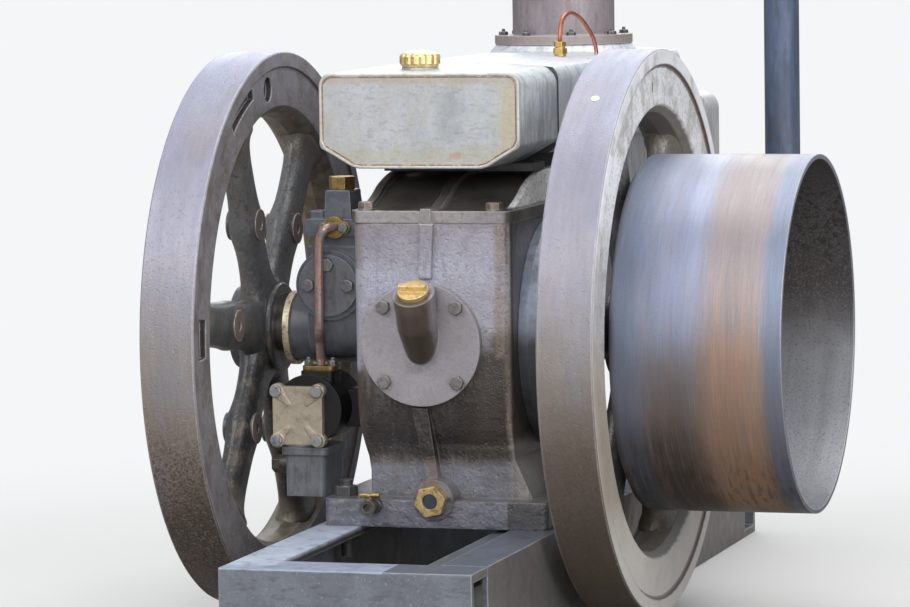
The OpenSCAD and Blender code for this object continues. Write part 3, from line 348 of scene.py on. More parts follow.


# Recipes, with lengths in mm: patch is the size of a cloud of colour, and grain and depth are the width and
# height of the surface's bumps. Moulding sand leaves a grain of about 0.5 mm and a rubbed or rolled finish a
# finer one. Both are drawn 1 to 4 mm wide, as they would not show at this distance otherwise.

# Flywheels: the turned tread's colour by height is painted light: a purple-grey painted sky reflection above,
# brown painted shade below. The rings cover all but the tread, what lies inside the rim, and the spokes.
wheelSides, wheelInside, spokesOnly = (0, 373.4, 0.4), (-1, 300, 1.5), (-1, 284, 3)
# Painted light by height: purple-grey sky reflection at the top, brown shade at the bottom
treadLightLevels = [
    (-375, "#57514d"), (-230, "#514942"), (-140, "#776d66"), (-20, "#88837f"), (180, "#8c8a97"),
    (375, "#8c8fa0")]
wheelBase = dict(
    levels=treadLightLevels, levelRagged=30, patch=50, stretch=(1, 5, 5), vary=0.1, metal=0.3, rough=(0.36, 0.52),
    grain=2.6, depth=0.42, soften=2.5, pits=(3.4, 0.8), wear=(2.6, "#c4c2c6", 0.75))
treadLayers = [
    layer("#7d84a4", 0.22, noise=(60, 0.48, 0.66), stretch=(1, 2, 2), shift=2),
    layer("#7d6f6d", 0.25, noise=(46, 0.52, 0.68), stretch=(1, 2, 2), shift=5),
    layer("#6a646c", 0.14, noise=(5, 0.5, 0.7), stretch=(1, 12, 12), shift=7),
    layer("#6d6870", 0.32, noise=(2.3, 0.52, 0.66), shift=19),
    layer("#8a7a72", 0.25, noise=(120, 0.45, 0.7), shift=23),
    # Painted shadows and highlights of the pitted grain on the lower tread: dark and light specks
    layer("#2b231e", 0.6, box=(None, None, (-420, -110)), noise=(3.4, 0.46, 0.58), edge=60, ragged=4,
          shift=27),
    layer("#96877c", 0.5, box=(None, None, (-420, -40)), noise=(3.4, 0.52, 0.62), edge=60, ragged=4,
          shift=29),
    layer("#7c7d8b", 0.6, box=(None, None, (40, 240)), noise=(90, 0.4, 0.6), edge=60, ragged=4, shift=37)]

# Left wheel: its inner side is unturned casting, dull brown-grey, with painted shade in its dark pockets and
# its groove, and a lit olive inside that is painted light
leftWheel = dict(
    wheelBase,
    layers=treadLayers + [
        layer("#807c80", 1.0, ring=wheelSides),
        layer("#655e59", 0.75, ring=wheelSides, noise=(40, 0.42, 0.62), shift=3),
        layer("#989593", 0.55, ring=(296, 356, 1.5), noise=(7, 0.5, 0.66), shift=9),
        layer("#4c4643", 0.45, ring=(296, 356, 1.5), noise=(2.4, 0.56, 0.66), shift=25),
        # Painted shadow: brown line in the groove by the tread's edge
        layer("#46372e", 0.8, ring=(350.5, 355.5, 1.0), ringRagged=1.0),
        # Painted shade: dark band in the pockets
        layer("#2b2725", 0.75, ring=(300, 358, 0.5), box=((-241.5, -233), None, None), edge=1, ragged=0.1),
        # Painted light: the lit olive of the rim's inside
        layer("#7c7361", 0.9, ring=wheelInside, ringRagged=1.0),
        layer("#544c40", 0.6, ring=wheelInside, noise=(20, 0.42, 0.6), shift=11),
        layer("#4f5258", 0.95, ring=spokesOnly, ringRagged=2.0),
        layer("#77655a", 0.85, ring=(135, 181, 1.5), box=((-241.6, -238), None, None), edge=0.8, ragged=0.1),
        # Light specks on the spokes: painted glints
        layer("#9da0a4", 0.5, ring=spokesOnly, noise=(3.4, 0.6, 0.68), shift=15)])
dress(makeSurface("castFlywheelIron", leftWheel), "flywheel_left")

# Right wheel: its outer side is turned and rubbed light, with painted light that turns its upper half near
# white and painted shade as a brown line in the groove
rightWheel = dict(
    wheelBase,
    layers=treadLayers + [
        layer("#bebdbb", 1.0, ring=wheelSides),
        # Painted light: the side's upper half near white
        layer("#f4f5f8", 0.95, ring=wheelSides, box=(None, None, (140, 420)), edge=90, ragged=8),
        layer("#a6a19a", 0.6, ring=wheelSides, noise=(34, 0.45, 0.65), shift=3),
        layer("#918b80", 0.55, ring=(296, 352, 1.5), noise=(5, 0.52, 0.66), shift=9),
        layer("#6d665c", 0.4, ring=(296, 352, 1.5), noise=(2.2, 0.56, 0.66), shift=25),
        # Painted shade: the tread darker and browner low down
        layer("#5f554b", 0.8, ring=(373.4, 420, 0.4), box=(None, None, (-420, -60)), edge=110, ragged=20),
        layer("#a59b8a", 0.7, ring=wheelSides, box=(None, None, (-250, -10)), edge=60, ragged=12),
        layer("#cfcdc8", 0.7, ring=wheelSides, box=(None, None, (-420, -230)), edge=60, ragged=12),
        # Painted shadow: brown line in the groove, darkest in its middle
        layer("#54392a", 0.9, ring=(350.2, 355.6, 0.9), ringRagged=0.8),
        layer("#241a14", 0.7, ring=(353.4, 354.6, 0.6), ringRagged=0.6),
        layer("#131110", 0.95, box=((294, 300), (-37, -33), (319, 332)), edge=0.8, ragged=0.2),
        layer("#6d675c", 0.9, ring=wheelInside, ringRagged=1.0),
        layer("#4d4f54", 0.95, ring=spokesOnly, ringRagged=2.0),
        # Light specks on the spokes: painted glints
        layer("#9da0a4", 0.5, ring=spokesOnly, noise=(3.4, 0.6, 0.68), shift=15)])
dress(makeSurface("turnedFlywheelIron", rightWheel), "flywheel_right")

# Spokes: oily slate-grey casting, brown where dirt holds, with painted sheen above, painted shade below and a
# scatter of light specks that are painted glints
oiledCasting = dict(
    # Colour by height: a painted sheen on the upper spokes and painted shade on the lower ones
    levels=[(-300, "#2b2b2d"), (-60, "#343436"), (40, "#57585a"), (300, "#6c6c6d")], levelRagged=30, patch=34,
    vary=0.16, metal=0.2, rough=(0.26, 0.42), grain=3.4, depth=0.9, soften=0, waves=(26, 1.6),
    pits=(4.2, 0.8), coat=0.3,
    layers=[
        layer("#6b5f50", 0.5, noise=(22, 0.5, 0.64), shift=3),
        layer("#2f2e2f", 0.5, noise=(9, 0.54, 0.66), shift=5),
        # Light specks: painted glints
        layer("#a5a6a8", 0.34, noise=(3.4, 0.6, 0.68), shift=7),
        layer("#262423", 0.4, noise=(3.8, 0.52, 0.66), shift=17),
        layer("#6a6253", 0.55, ring=(258, 302, 10), ringRagged=4)])
spokeIron = makeSurface("oiledSpokeIron", oiledCasting)

# Pulley: rolled steel rubbed round by the belt, blue-grey with a brown heat band, oily brown streaks low down
# and painted shade that turns its lower half dark brown
pulleyInside = (-1, 231, 0.4)
pulleySteel = dict(
    # Colour by height: painted light above, painted shade below, dark brown at the bottom
    levels=[
        (-236, "#3a3129"), (-165, "#55493d"), (-90, "#756d69"), (0, "#7f818b"), (120, "#848896"),
        (236, "#92959f")],
    levelRagged=22, patch=26, stretch=(1, 14, 14), vary=0.1, metal=0.4, rough=(0.36, 0.5), grain=1.6,
    grainStretch=(1, 18, 18), depth=0.1, soften=2.5, wear=(3, "#b9b8bd", 0.7),
    layers=[
        layer("#8a7361", 0.5, box=((404, 484), None, None), edge=12, ragged=5, wander=60),
        layer("#a0826a", 0.6, box=((402, 482), None, (-225, 20)), edge=22, ragged=7, wander=40),
        layer("#b0846a", 0.28, box=((402, 482), None, (-250, 100)), noise=(4, 0.5, 0.64), stretch=(1, 24, 24),
              edge=10, ragged=5, shift=39),
        layer("#7a8aa6", 0.5, box=((290, 328), None, None), edge=10, ragged=4),
        # Painted sky reflection on the upper half of this band and painted shade on its lower half
        layer("#8289a6", 0.5, box=((328, 404), None, (0, 260)), edge=26, ragged=6),
        layer("#5e5351", 0.5, box=((328, 404), None, (-170, -10)), edge=40, ragged=8),
        layer("#64728a", 0.6, box=((486, 520), None, None), edge=9, ragged=3),
        layer("#3a2f22", 0.45, box=(None, None, (-250, -150)), noise=(7, 0.48, 0.62), stretch=(1, 4, 4),
              edge=40, ragged=8, shift=45),
        # Painted shade: the lower part next to the flywheel
        layer("#2b2520", 0.6, box=((290, 380), None, (-260, -110)), edge=36, ragged=8),
        layer("#74717c", 0.34, noise=(4, 0.5, 0.68), stretch=(1, 30, 30), shift=3),
        layer("#b0aeb4", 0.16, noise=(2.2, 0.55, 0.7), stretch=(1, 40, 40), shift=6),
        layer("#68656b", 0.3, noise=(2.4, 0.54, 0.66), shift=16),
        layer("#937a68", 0.18, noise=(12, 0.52, 0.66), stretch=(1, 9, 9), shift=12),
        layer("#54504f", 0.95, ring=pulleyInside),
        # Painted light on the lower inside, brightest at the bottom
        layer("#a2a4aa", 0.9, ring=pulleyInside, box=(None, (20, 260), (-240, -10)), edge=60, ragged=12),
        layer("#d0d1d8", 0.55, ring=pulleyInside, box=(None, None, (-240, -140)), edge=50, ragged=12),
        layer("#8f8e8d", 0.4, ring=pulleyInside, noise=(3.0, 0.48, 0.64), shift=14),
        # Painted shade: the inside under the top of the rim
        layer("#2b2826", 0.6, ring=pulleyInside, box=((400, 520), (40, 220), (60, 190)),
              noise=(9, 0.5, 0.6), edge=20, shift=18),
        layer("#35302e", 0.5, ring=pulleyInside, noise=(2.4, 0.56, 0.66), shift=21)])
dress(makeSurface("beltRubbedSteel", pulleySteel), "belt_pulley")

# Shaft ends: turned steel with an oily film
shaftSteel = dict(
    colour="#8f8c8a", second="#7a7571", patch=20, stretch=(1, 4, 4), metal=0.8, rough=(0.28, 0.42), grain=1.0,
    grainStretch=(1, 12, 12), depth=0.05,
    layers=[layer("#54473c", 0.5, noise=(12, 0.5, 0.64))])
dress(makeSurface("oiledShaftSteel", shaftSteel), "crankshaft")

# Crankcase: oiled casting; the bluish light on the flat front is a painted sky reflection, and the dark
# glossy brown where the belly rolls under is painted shade
caseFront, caseBelly = (-200, -150), (-200, -120)
crankcaseIron = dict(
    # Colour by height: painted shade on the belly, a painted sky reflection up the front, painted shade in
    # the top band
    levels=[
        (-241, "#6a6a76"), (-208, "#74747f"), (-203, "#4a484b"), (-196, "#6c6c74"), (-165, "#717179"),
        (-158, "#524a4a"), (-152, "#231a15"), (-122, "#150f0b"), (-78, "#2f251e"), (-52, "#5b514b"),
        (-14, "#827c7f"), (40, "#9895a0"), (90, "#a5a7b8"), (156, "#837d86")],
    levelRagged=5, patch=55, vary=0.14, metal=0.1, rough=(0.27, 0.42), grain=3.8, depth=1.15, soften=4.0,
    waves=(36, 2.6), pits=(5.0, 0.7), coat=0.45,
    layers=[
        layer("#7f7775", 0.35, noise=(26, 0.5, 0.66), shift=2),
        layer("#6d6562", 0.4, noise=(9, 0.52, 0.68), stretch=(1, 1, 5), shift=4),
        layer("#4f4a4b", 0.4, noise=(2.6, 0.54, 0.66), shift=31),
        layer("#1f1814", 0.6, box=(None, (-230, -140), (-150, -30)), noise=(7, 0.46, 0.6), stretch=(1, 1, 7),
              edge=18, shift=33),
        # Painted shade: dark bands where the belly rolls under
        layer("#17110d", 0.6, box=(None, (-230, -140), (-149, -124)), edge=5, ragged=2),
        layer("#1c1511", 0.6, box=((-66, 74), (-230, -120), (-148, -76)), edge=9, ragged=3),
        # Left corner: painted shade low down, a painted highlight up its middle, greyer at the top
        layer("#443930", 0.7, box=((-90, -60), None, (-150, -36)), edge=9, ragged=4),
        layer("#b3b3be", 0.7, box=((-90, -62), None, (-36, 96)), edge=7, ragged=3),
        layer("#8e8982", 0.6, box=((-90, -60), None, (100, 160)), edge=7, ragged=4),
        layer("#2f2d34", 0.4, box=(None, (-240, -196), (-245, -172)), noise=(8, 0.48, 0.6), stretch=(3, 1, 1),
              edge=6, ragged=2, shift=41),
        # Painted highlights: light specks on the foot
        layer("#a9acba", 0.3, box=(None, None, (-245, -172)), noise=(4, 0.56, 0.66), stretch=(2, 1, 1),
              edge=6, ragged=2, shift=43),
        # Painted sheen: a lighter bluish patch on the right of the front
        layer("#aaa7b2", 0.55, box=((60, 124), caseFront, (-20, 150)), edge=14, ragged=6, wander=60),
        # Painted shade: the dark belly rising towards the right, next to the flywheel
        layer("#2a211a", 0.85, box=((64, 150), caseBelly, (-148, -58)), edge=9, ragged=5, wander=50),
        layer("#3b322d", 0.85, box=((92, 150), caseBelly, (-140, -8)), edge=12, ragged=5, wander=40),
        layer("#352c24", 0.8, box=((112, 150), caseBelly, (-140, 14)), edge=12, ragged=5, wander=40),
        layer("#5b5a5f", 0.5, box=((95, 150), (-230, -120), (-204, -160)), edge=9, ragged=4),
        # Painted shade: the top band under the cover darker
        layer("#7f7a80", 0.5, box=((-80, 30), caseFront, (90, 156)), edge=20, ragged=8, wander=50),
        # Painted highlights: the rounded front-right corner
        layer("#7f7062", 0.6, box=((120, 133), caseFront, (-20, 153)), edge=5, ragged=3, wander=14),
        layer("#8b7f76", 0.55, box=((133, 141), (-185, -150), (-140, 150)), edge=3, ragged=2, wander=20),
        layer("#5f3c2c", 0.6, box=((134, 136.5), caseFront, (104, 153)), edge=1.2, ragged=1.6, wander=7),
        layer("#c4bfbb", 0.7, box=(None, (-200, -182), (153.6, 158)), edge=0.7, ragged=0.4, wander=18),
        # Painted shade: the right side face, which the flywheel shades; lighter low down on the flare
        layer("#35312e", 0.8, box=((139, 400), None, None), edge=1, ragged=0.1),
        layer("#8a857f", 0.7, box=((139, 400), None, (-204, -132)), edge=9, ragged=3),
        layer("#6f5a45", 0.5, box=((26, 48), (-230, -186), (-196, -150)), edge=3, ragged=2, wander=9),
        # Light specks: painted glints
        layer("#b3b0b2", 0.4, noise=(3.0, 0.66, 0.72), shift=21)],
    wear=(3, "#a5a09e", 0.28))
dress(makeSurface("oiledCastIron", crankcaseIron), "crankcase")

# Top cover: brown oily ledge, speckled cheeks, the right one painted near white as painted light on a face
# the flywheel shades
hoodIron = dict(
    colour="#5b5752", second="#484440", patch=40, vary=0.16, metal=0.1, rough=(0.3, 0.5), grain=3.2,
    depth=0.42, soften=3.0, coat=0.3, waves=(45, 1.2), pits=(4.2, 0.5),
    layers=[
        layer("#928d8f", 0.9, box=(None, (-230, -181), (150, 176)), edge=2, ragged=1),
        # Painted light: the right cheek near white, though the flywheel shades it
        layer("#f1efed", 1.0, box=((126, 160), None, (174, 300)), edge=2, ragged=1),
        layer("#6d6762", 0.45, box=((126, 160), None, (174, 300)), noise=(4, 0.5, 0.62), edge=3, ragged=1,
              shift=5),
        layer("#665d5b", 0.5, box=(None, (-230, -181), (150, 176)), noise=(7, 0.5, 0.62), edge=2, ragged=1,
              shift=12),
        layer("#7b7775", 0.7, box=((20, 40), (-200, -100), (150, 260)), edge=2, ragged=1),
        layer("#6d5f50", 0.45, noise=(12, 0.55, 0.68), shift=8)],
    wear=(3.4, "#b1adad", 0.75))
dress(makeSurface("coverCasting", hoodIron), "crankcase_top_cover")

# Round cover: lighter grey casting with a dark oily filler neck
doorIron = dict(
    colour="#989499", second="#8d898d", patch=36, vary=0.12, metal=0.15, rough=(0.34, 0.5), grain=2.6,
    depth=0.32, soften=2.5, coat=0.2, pits=(3.4, 0.6),
    layers=[
        layer("#7e7778", 0.45, noise=(10, 0.52, 0.68), shift=3),
        layer("#4a3f33", 0.92, box=((-2, 44), (-300, -195.5), (-42, 70)), edge=4, ragged=1.5, wander=14),
        layer("#33291f", 0.6, box=((4, 36), (-300, -196), (-40, 40)), edge=8, ragged=3, wander=14),
        layer("#6f6662", 0.3, box=(None, None, (-110, -84)), edge=10, ragged=8)],
    wear=(3, "#b7b2b2", 0.6))
dress(makeSurface("coverPlateCasting", doorIron), "round_front_cover")

# Bearing housing: blue-grey paint, streaked by oil
bearingPaint = dict(
    colour="#8d95a6", second="#757c8a", patch=45, rough=(0.3, 0.46), metal=0.15, grain=3.2, depth=0.4,
    soften=3, coat=0.3, wear=(3, "#b2b6bd", 0.5),
    layers=[
        layer("#4d4a4a", 0.5, noise=(14, 0.5, 0.64), stretch=(1, 1, 5)),
        layer("#2d2b28", 0.8, box=(None, None, (-300, 6)), edge=14, ragged=5)])
dress(makeSurface("bearingHousingPaint", bearingPaint), "bearing_housing")

# Governor: slate paint that shines on the rounds and is brown in the corners, with light specks that are
# painted glints
governorPaint = dict(
    colour="#5f646d", second="#50545c", patch=40, rough=(0.28, 0.44), metal=0.1, grain=2.8, depth=0.35,
    soften=3.0, coat=0.4, pits=(4, 0.4), wear=(3, "#a2a6ac", 0.6),
    layers=[
        layer("#453d36", 0.5, noise=(12, 0.52, 0.66), stretch=(1, 1, 3)),
        # Light specks: painted glints
        layer("#9da1a8", 0.4, noise=(3.2, 0.64, 0.7), shift=9)])
dress(makeSurface("slatePaint", governorPaint), "governor_housing", "pump_block")

# Governor plate: the same paint, worn flatter and greyer
platePaint = dict(governorPaint, colour="#6b6c72", second="#5e5f65", coat=0.2, pits=(3, 0.5))
dress(makeSurface("platePaint", platePaint), "governor_plate")

# Filter body: paint under thick black oil, dull but for its rubbed edges
filterPaint = dict(
    colour="#08090a", second="#050505", patch=30, rough=(0.4, 0.56), metal=0.0, grain=2.5, depth=0.35,
    soften=2.5, wear=(2.0, "#5c5a56", 0.35))
dress(makeSurface("filterBodyPaint", filterPaint), "filter_housing")

# Filter bowl and air intake: the slate paint, faded lighter
bowlPaint = dict(governorPaint, colour="#777b82", second="#666a70", patch=26)
dress(makeSurface("bowlPaint", bowlPaint), "filter_bowl", "air_intake")

# Filter cover: dull bronze, lighter on the high spots
khakiBronze = dict(
    colour="#c1b6a4", second="#aca08d", patch=14, vary=0.2, rough=(0.34, 0.52), metal=0.35, grain=1.8,
    depth=0.35, soften=2.4, waves=(12, 1.2), wear=(2.4, "#c9bfae", 0.7),
    layers=[
        layer("#74665a", 0.45, noise=(16, 0.5, 0.7)),
        layer("#5d5145", 0.35, noise=(4, 0.58, 0.68), shift=4)])
bronzePlate = makeSurface("dullBronze", khakiBronze)
dress(bronzePlate, "filter_cover")

# Brass that hands keep bright, browned in its corners
handledBrass = dict(
    colour="#cfae6a", second="#b8934c", patch=10, metal=0.95, rough=(0.24, 0.4), grain=1.4, depth=0.08,
    soften=1.4, wear=(1.6, "#f0dcae", 0.7),
    layers=[layer("#7d6237", 0.55, noise=(6, 0.56, 0.68))])
dress(makeSurface("handledBrass", handledBrass), "overflow_fitting")
# The caps' brass is lightened to the tank cap's highlight tone: partly a painted highlight
capBrass = makeSurface("capBrass", dict(handledBrass, colour="#ecd5a3", second="#dcbb7c", metal=0.8))
dress(capBrass, "oil_filler_cap")

# Brass left to the weather
dullBrass = dict(
    colour="#ad9159", second="#8a7449", patch=9, vary=0.2, metal=0.85, rough=(0.3, 0.46), grain=1.4,
    depth=0.12, soften=1.6, wear=(1.6, "#dcc692", 0.7),
    layers=[layer("#54462f", 0.65, noise=(5, 0.5, 0.64))])
weatheredBrass = makeSurface("weatheredBrass", dullBrass)
dress(weatheredBrass, "pump_plug", "pipe_flange", "filter_inlet_flange", "drain_cock_handle")

# The sight glass nut is brass rubbed by a spanner, the governor's end flange a greyer bronze
dress(makeSurface("rubbedBrass", dict(dullBrass, colour="#dec28c", second="#c7ab74", metal=0.75)),
      "sight_glass_nut")
dress(makeSurface("greyBronze", dict(dullBrass, colour="#dccfb4", second="#c4b79c", metal=0.45)),
      "governor_end_flange")

# Drain cock and side plug: bronze under a grey oily skin, bright only on its edges
cockBronze = dict(
    colour="#5d5a53", second="#4a4742", patch=8, metal=0.5, rough=(0.28, 0.46), grain=1.5, depth=0.15,
    wear=(1.6, "#9c9280", 0.6))
dress(makeSurface("oiledBronze", cockBronze), "drain_cock", "filter_side_plug")

# Fuel pipe: copper under a grey-brown skin that is rubbed through in places
pipeCopper = dict(
    colour="#b0a19b", second="#9d908a", patch=12, metal=0.6, rough=(0.26, 0.42), grain=1.5, depth=0.05,
    soften=0,
    layers=[
        layer("#bd8a76", 0.75, noise=(9, 0.46, 0.58), stretch=(1, 1, 3)),
        layer("#463d3a", 0.6, noise=(4, 0.56, 0.66), shift=5)])
dress(makeSurface("skinnedCopper", pipeCopper), "fuel_pipe")

# Overflow pipe: drawn copper tube that has aged to red-brown
brightCopper = dict(
    colour="#b87560", second="#a3614c", patch=12, metal=0.85, rough=(0.26, 0.4), grain=1.5, depth=0.05,
    soften=0,
    layers=[layer("#6e4638", 0.5, noise=(7, 0.55, 0.66))])
dress(makeSurface("agedCopper", brightCopper), "overflow_pipe")

# Sight glass: smooth glass with dark oil behind it, so it is nearly black with a sharp gleam
glassDark = dict(
    colour="#3a4046", second="#2b3338", patch=8, vary=0.2, metal=0.0, rough=(0.05, 0.12), grain=3.0,
    depth=0.02, coat=1.0)
dress(makeSurface("sightGlass", glassDark), "sight_glass")

# Tank: galvanised sheet, mottled grey with yellow-green water marks
tankPlate = (-190, -178)
tankSheet = dict(
    colour="#b3b6ba", second="#a8aaaa", patch=32, stretch=(1, 1, 1.5), vary=0.1, metal=0.3,
    rough=(0.36, 0.54), grain=2.0, depth=0.14, soften=3.0, waves=(50, 1.4),
    layers=[
        # Painted light: the sides lighter than the front plate
        layer("#cfd3d8", 0.8, box=(None, (-174, 40), (225, 345)), edge=4, ragged=0.5),
        layer("#a9a79a", 0.5, noise=(24, 0.5, 0.66), stretch=(1, 1, 2), shift=2),
        layer("#97a0aa", 0.5, noise=(16, 0.54, 0.66), shift=4),
        layer("#8c8d8c", 0.5, noise=(4, 0.52, 0.68), stretch=(3, 1, 1), shift=6),
        layer("#6e6c66", 0.6, noise=(2.2, 0.62, 0.7), shift=8),
        layer("#a7a083", 0.55, box=((-110, 150), tankPlate, (229, 252)), edge=9, ragged=9),
        layer("#b5a276", 0.6, box=((128, 160), tankPlate, (240, 345)), edge=9, ragged=7),
        layer("#8a929b", 0.6, box=((44, 78), tankPlate, (262, 330)), edge=9, ragged=8, wander=20),
        layer("#929aa2", 0.45, box=((10, 32), tankPlate, (240, 300)), edge=9, ragged=8, wander=20),
        layer("#a58a74", 0.6, box=((60, 76), tankPlate, (240, 248)), edge=2, ragged=2, wander=8),
        layer("#a59a82", 0.5, box=(None, tankPlate, (337, 360)), edge=3, ragged=3),
        layer("#8d949e", 0.6, box=(None, (-176, 40), None), noise=(5, 0.46, 0.62), stretch=(3, 3, 18), edge=2,
              ragged=0.5, shift=12),
        # Painted shadow: black line in the gap to the hopper
        layer("#1b1a18", 0.95, box=(None, (-2.5, 3), None), edge=0.8, ragged=0.1)])
dress(makeSurface("galvanisedSheet", tankSheet), "fuel_tank")
tankRim = makeSurface("tankRimSheet", dict(tankSheet, colour="#c6c8c8", second="#b7b5ae", soften=0,
                                           layers=tankSheet["layers"][:4]))

# Hopper: scraped zinc sheet with dark runs down its sides
hopperSheet = dict(
    colour="#c9ccd2", second="#babdc3", patch=50, vary=0.1, metal=0.3, rough=(0.34, 0.52), grain=2.5,
    depth=0.15, soften=4.0, waves=(70, 1.6),
    layers=[
        layer("#8d8d90", 0.6, noise=(6, 0.48, 0.64), stretch=(2, 2, 20)),
        layer("#e6e8ea", 0.4, noise=(4, 0.52, 0.66), stretch=(2, 2, 24), shift=6),
        layer("#7b756d", 0.5, noise=(3, 0.62, 0.7), shift=8),
        layer("#8d8577", 0.5, box=(None, None, (220, 262)), edge=14, ragged=10),
        # Painted shadow: black line in the gap to the tank
        layer("#1b1a18", 0.9, box=(None, (-1, 6), None), edge=0.8, ragged=0.1)])
dress(makeSurface("scrapedZincSheet", hopperSheet), "water_hopper")

# Tank brackets: flat bar under dull black paint
bearerPaint = dict(
    colour="#4b4c4e", second="#3d3c3c", patch=20, rough=(0.35, 0.5), metal=0.1, grain=3, depth=0.3)
dress(makeSurface("bearerPaint", bearerPaint), "tank_brackets")

# Steam pipe and its cast flange: dusty pink-grey
chimneySteel = dict(
    colour="#8f878a", second="#7a7276", patch=34, stretch=(1, 1, 2), metal=0.25, rough=(0.38, 0.55), grain=3,
    depth=0.22, wear=(3, "#cfcaca", 0.6),
    layers=[
        layer("#75696a", 0.5, noise=(9, 0.5, 0.64), stretch=(1, 1, 6)),
        layer("#90857f", 0.7, box=(None, None, (366, 382)), edge=1.5, ragged=1),
        layer("#6b5448", 0.4, noise=(4, 0.6, 0.68), shift=6)])
dress(makeSurface("dustySteel", chimneySteel), "steam_pipe")

# Block and head: grey sand casting, rusty brown where water runs down
blockIron = dict(
    colour="#8b8d91", second="#797b7e", patch=60, rough=(0.36, 0.52), metal=0.12, grain=4, depth=0.45,
    soften=3, pits=(4.2, 0.6), wear=(3, "#b3b4b6", 0.55),
    layers=[
        layer("#5a524c", 0.5, noise=(12, 0.5, 0.64), stretch=(1, 1, 6)),
        layer("#4b433d", 0.7, box=(None, None, (-130, -40)), edge=30, ragged=14)])
dress(makeSurface("blockCasting", blockIron), "cylinder_block", "cylinder_head")

# Rocker cover: pressed sheet under pale paint, with oil runs
rockerPaint = dict(
    colour="#c4c5c7", second="#b3b4b6", patch=40, vary=0.1, rough=(0.32, 0.48), metal=0.1, grain=2.5,
    depth=0.15, soften=3,
    layers=[
        layer("#8c867e", 0.5, noise=(8, 0.52, 0.66), stretch=(1, 1, 8)),
        layer("#857b70", 0.5, box=(None, None, (30, 90)), edge=16, ragged=10)])
dress(makeSurface("rockerCoverPaint", rockerPaint), "rocker_cover")

# Exhaust: blue-black scaled steel with rust coming through low down
exhaustSteel = dict(
    colour="#56647c", second="#485264", patch=24, stretch=(1, 1, 4), metal=0.25, rough=(0.34, 0.5), grain=2.5,
    depth=0.18,
    layers=[
        layer("#3b3f49", 0.5, noise=(9, 0.5, 0.64), stretch=(1, 1, 6)),
        layer("#5c4f4a", 0.4, box=(None, None, (0, 250)), noise=(10, 0.45, 0.6), edge=30, ragged=20,
              shift=4)])
dress(makeSurface("scaledExhaustSteel", exhaustSteel), "exhaust_elbow", "exhaust_pipe")

# Frame: rolled channel under worn slate paint; the pale blue on top is painted light from above and the near
# black inside is painted shade
channelPaint = dict(
    colour="#6e737c", second="#5f636b", patch=46, metal=0.1, rough=(0.3, 0.5), grain=3.0, depth=0.3,
    soften=3.0, coat=0.25, wear=(3.4, "#b3b7bf", 0.75), pits=(3.6, 0.5),
    layers=[
        # Painted light: the flanges' tops pale blue
        layer("#8f99ae", 0.9, box=(None, None, (-243, -239)), edge=1, ragged=0.4),
        # Painted shade: the right rail's top
        layer("#4d525e", 0.95, box=((90, 210), None, (-243, -239)), edge=0.6, ragged=0.1),
        # Painted light: the left top where the left wheel shades it
        layer("#c4cddb", 0.9, box=((-125, -58), (-560, -100), (-243, -239)), edge=6, ragged=4),
        layer("#494b52", 0.5, noise=(9, 0.52, 0.66), stretch=(3, 3, 1), shift=4),
        # Light specks: painted glints
        layer("#a3a8b2", 0.5, noise=(3.0, 0.62, 0.7), shift=6),
        layer("#57504b", 0.7, box=((202, 210), None, None), edge=1, ragged=0.2),
        # Painted shade: the inside below the top flanges near black
        layer("#2b2a28", 0.85, box=((-113, 196), (-583, 951), (-400, -246)), edge=1.2, ragged=0.2)])
dress(makeSurface("channelPaint", channelPaint), "frame_rail_left", "frame_rail_right", "front_cross_beam",
      "rear_cross_beam", "inner_ledge")

# Bolts: bare steel gone grey, brighter on the filter, darker on the flanges and browned on the covers
boltSteel = dict(
    colour="#8b8a8a", second="#747270", patch=7, metal=0.55, rough=(0.28, 0.46), grain=1.2, depth=0.08,
    soften=0.8, wear=(1.2, "#c4c3c3", 0.7),
    layers=[layer("#504a45", 0.6, noise=(4, 0.52, 0.64))])
boltMaterial = makeSurface("boltSteel", boltSteel)
darkBolt = makeSurface("darkBoltSteel", dict(boltSteel, colour="#5a5a5c", second="#4b4a4b"))
brightBolt = makeSurface("brightBoltSteel", dict(boltSteel, colour="#aeaeb0", second="#96959a"))
bronzeBolt = makeSurface("brownBoltSteel", dict(boltSteel, colour="#8f8274", second="#7a6c5d"))
dress(darkBolt, "holding_down_bolts")

# Soft solder along the tank's seam: soft grey metal browned by flux
softSolder = dict(
    colour="#93705a", second="#7c6a50", patch=10, metal=0.4, rough=(0.34, 0.5), grain=1.2, depth=0.12,
    soften=0,
    layers=[layer("#c7b79c", 0.6, noise=(7, 0.5, 0.62))])
solder = makeSurface("solderSeam", softSolder)

# White metal run into the tread and cut flush, the palest spot of the wheel
runMetal = dict(
    colour="#e2dccb", second="#cfc8b6", patch=4, metal=0.3, rough=(0.3, 0.45), grain=1.5, depth=0.15,
    soften=0.8)
plugLead = makeSurface("whiteMetal", runMetal)

print("castings, sheets and fittings dressed")


# Adds a piece from a filled bmesh
def addPiece(name, mesh, material, body="engine"):
    bmesh.ops.recalc_face_normals(mesh, faces=mesh.faces)
    data = bpy.data.meshes.new(name)
    mesh.to_mesh(data)
    mesh.free()
    data.materials.append(material)
    piece = bpy.data.objects.new(name, data)
    bpy.context.scene.collection.objects.link(piece)
    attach(piece, body)
    return piece


# Faces between rings of points. The last ring meets the first one, or else both ends are filled.
def skinRings(mesh, rings, closed=False):
    points = len(rings[0])
    for lower, upper in zip(rings, rings[1:] + (rings[:1] if closed else [])):
        for k in range(points):
            mesh.faces.new((lower[k], lower[(k + 1) % points], upper[(k + 1) % points], upper[k]))
    if not closed:
        mesh.faces.new(list(reversed(rings[0])))
        mesh.faces.new(rings[-1])


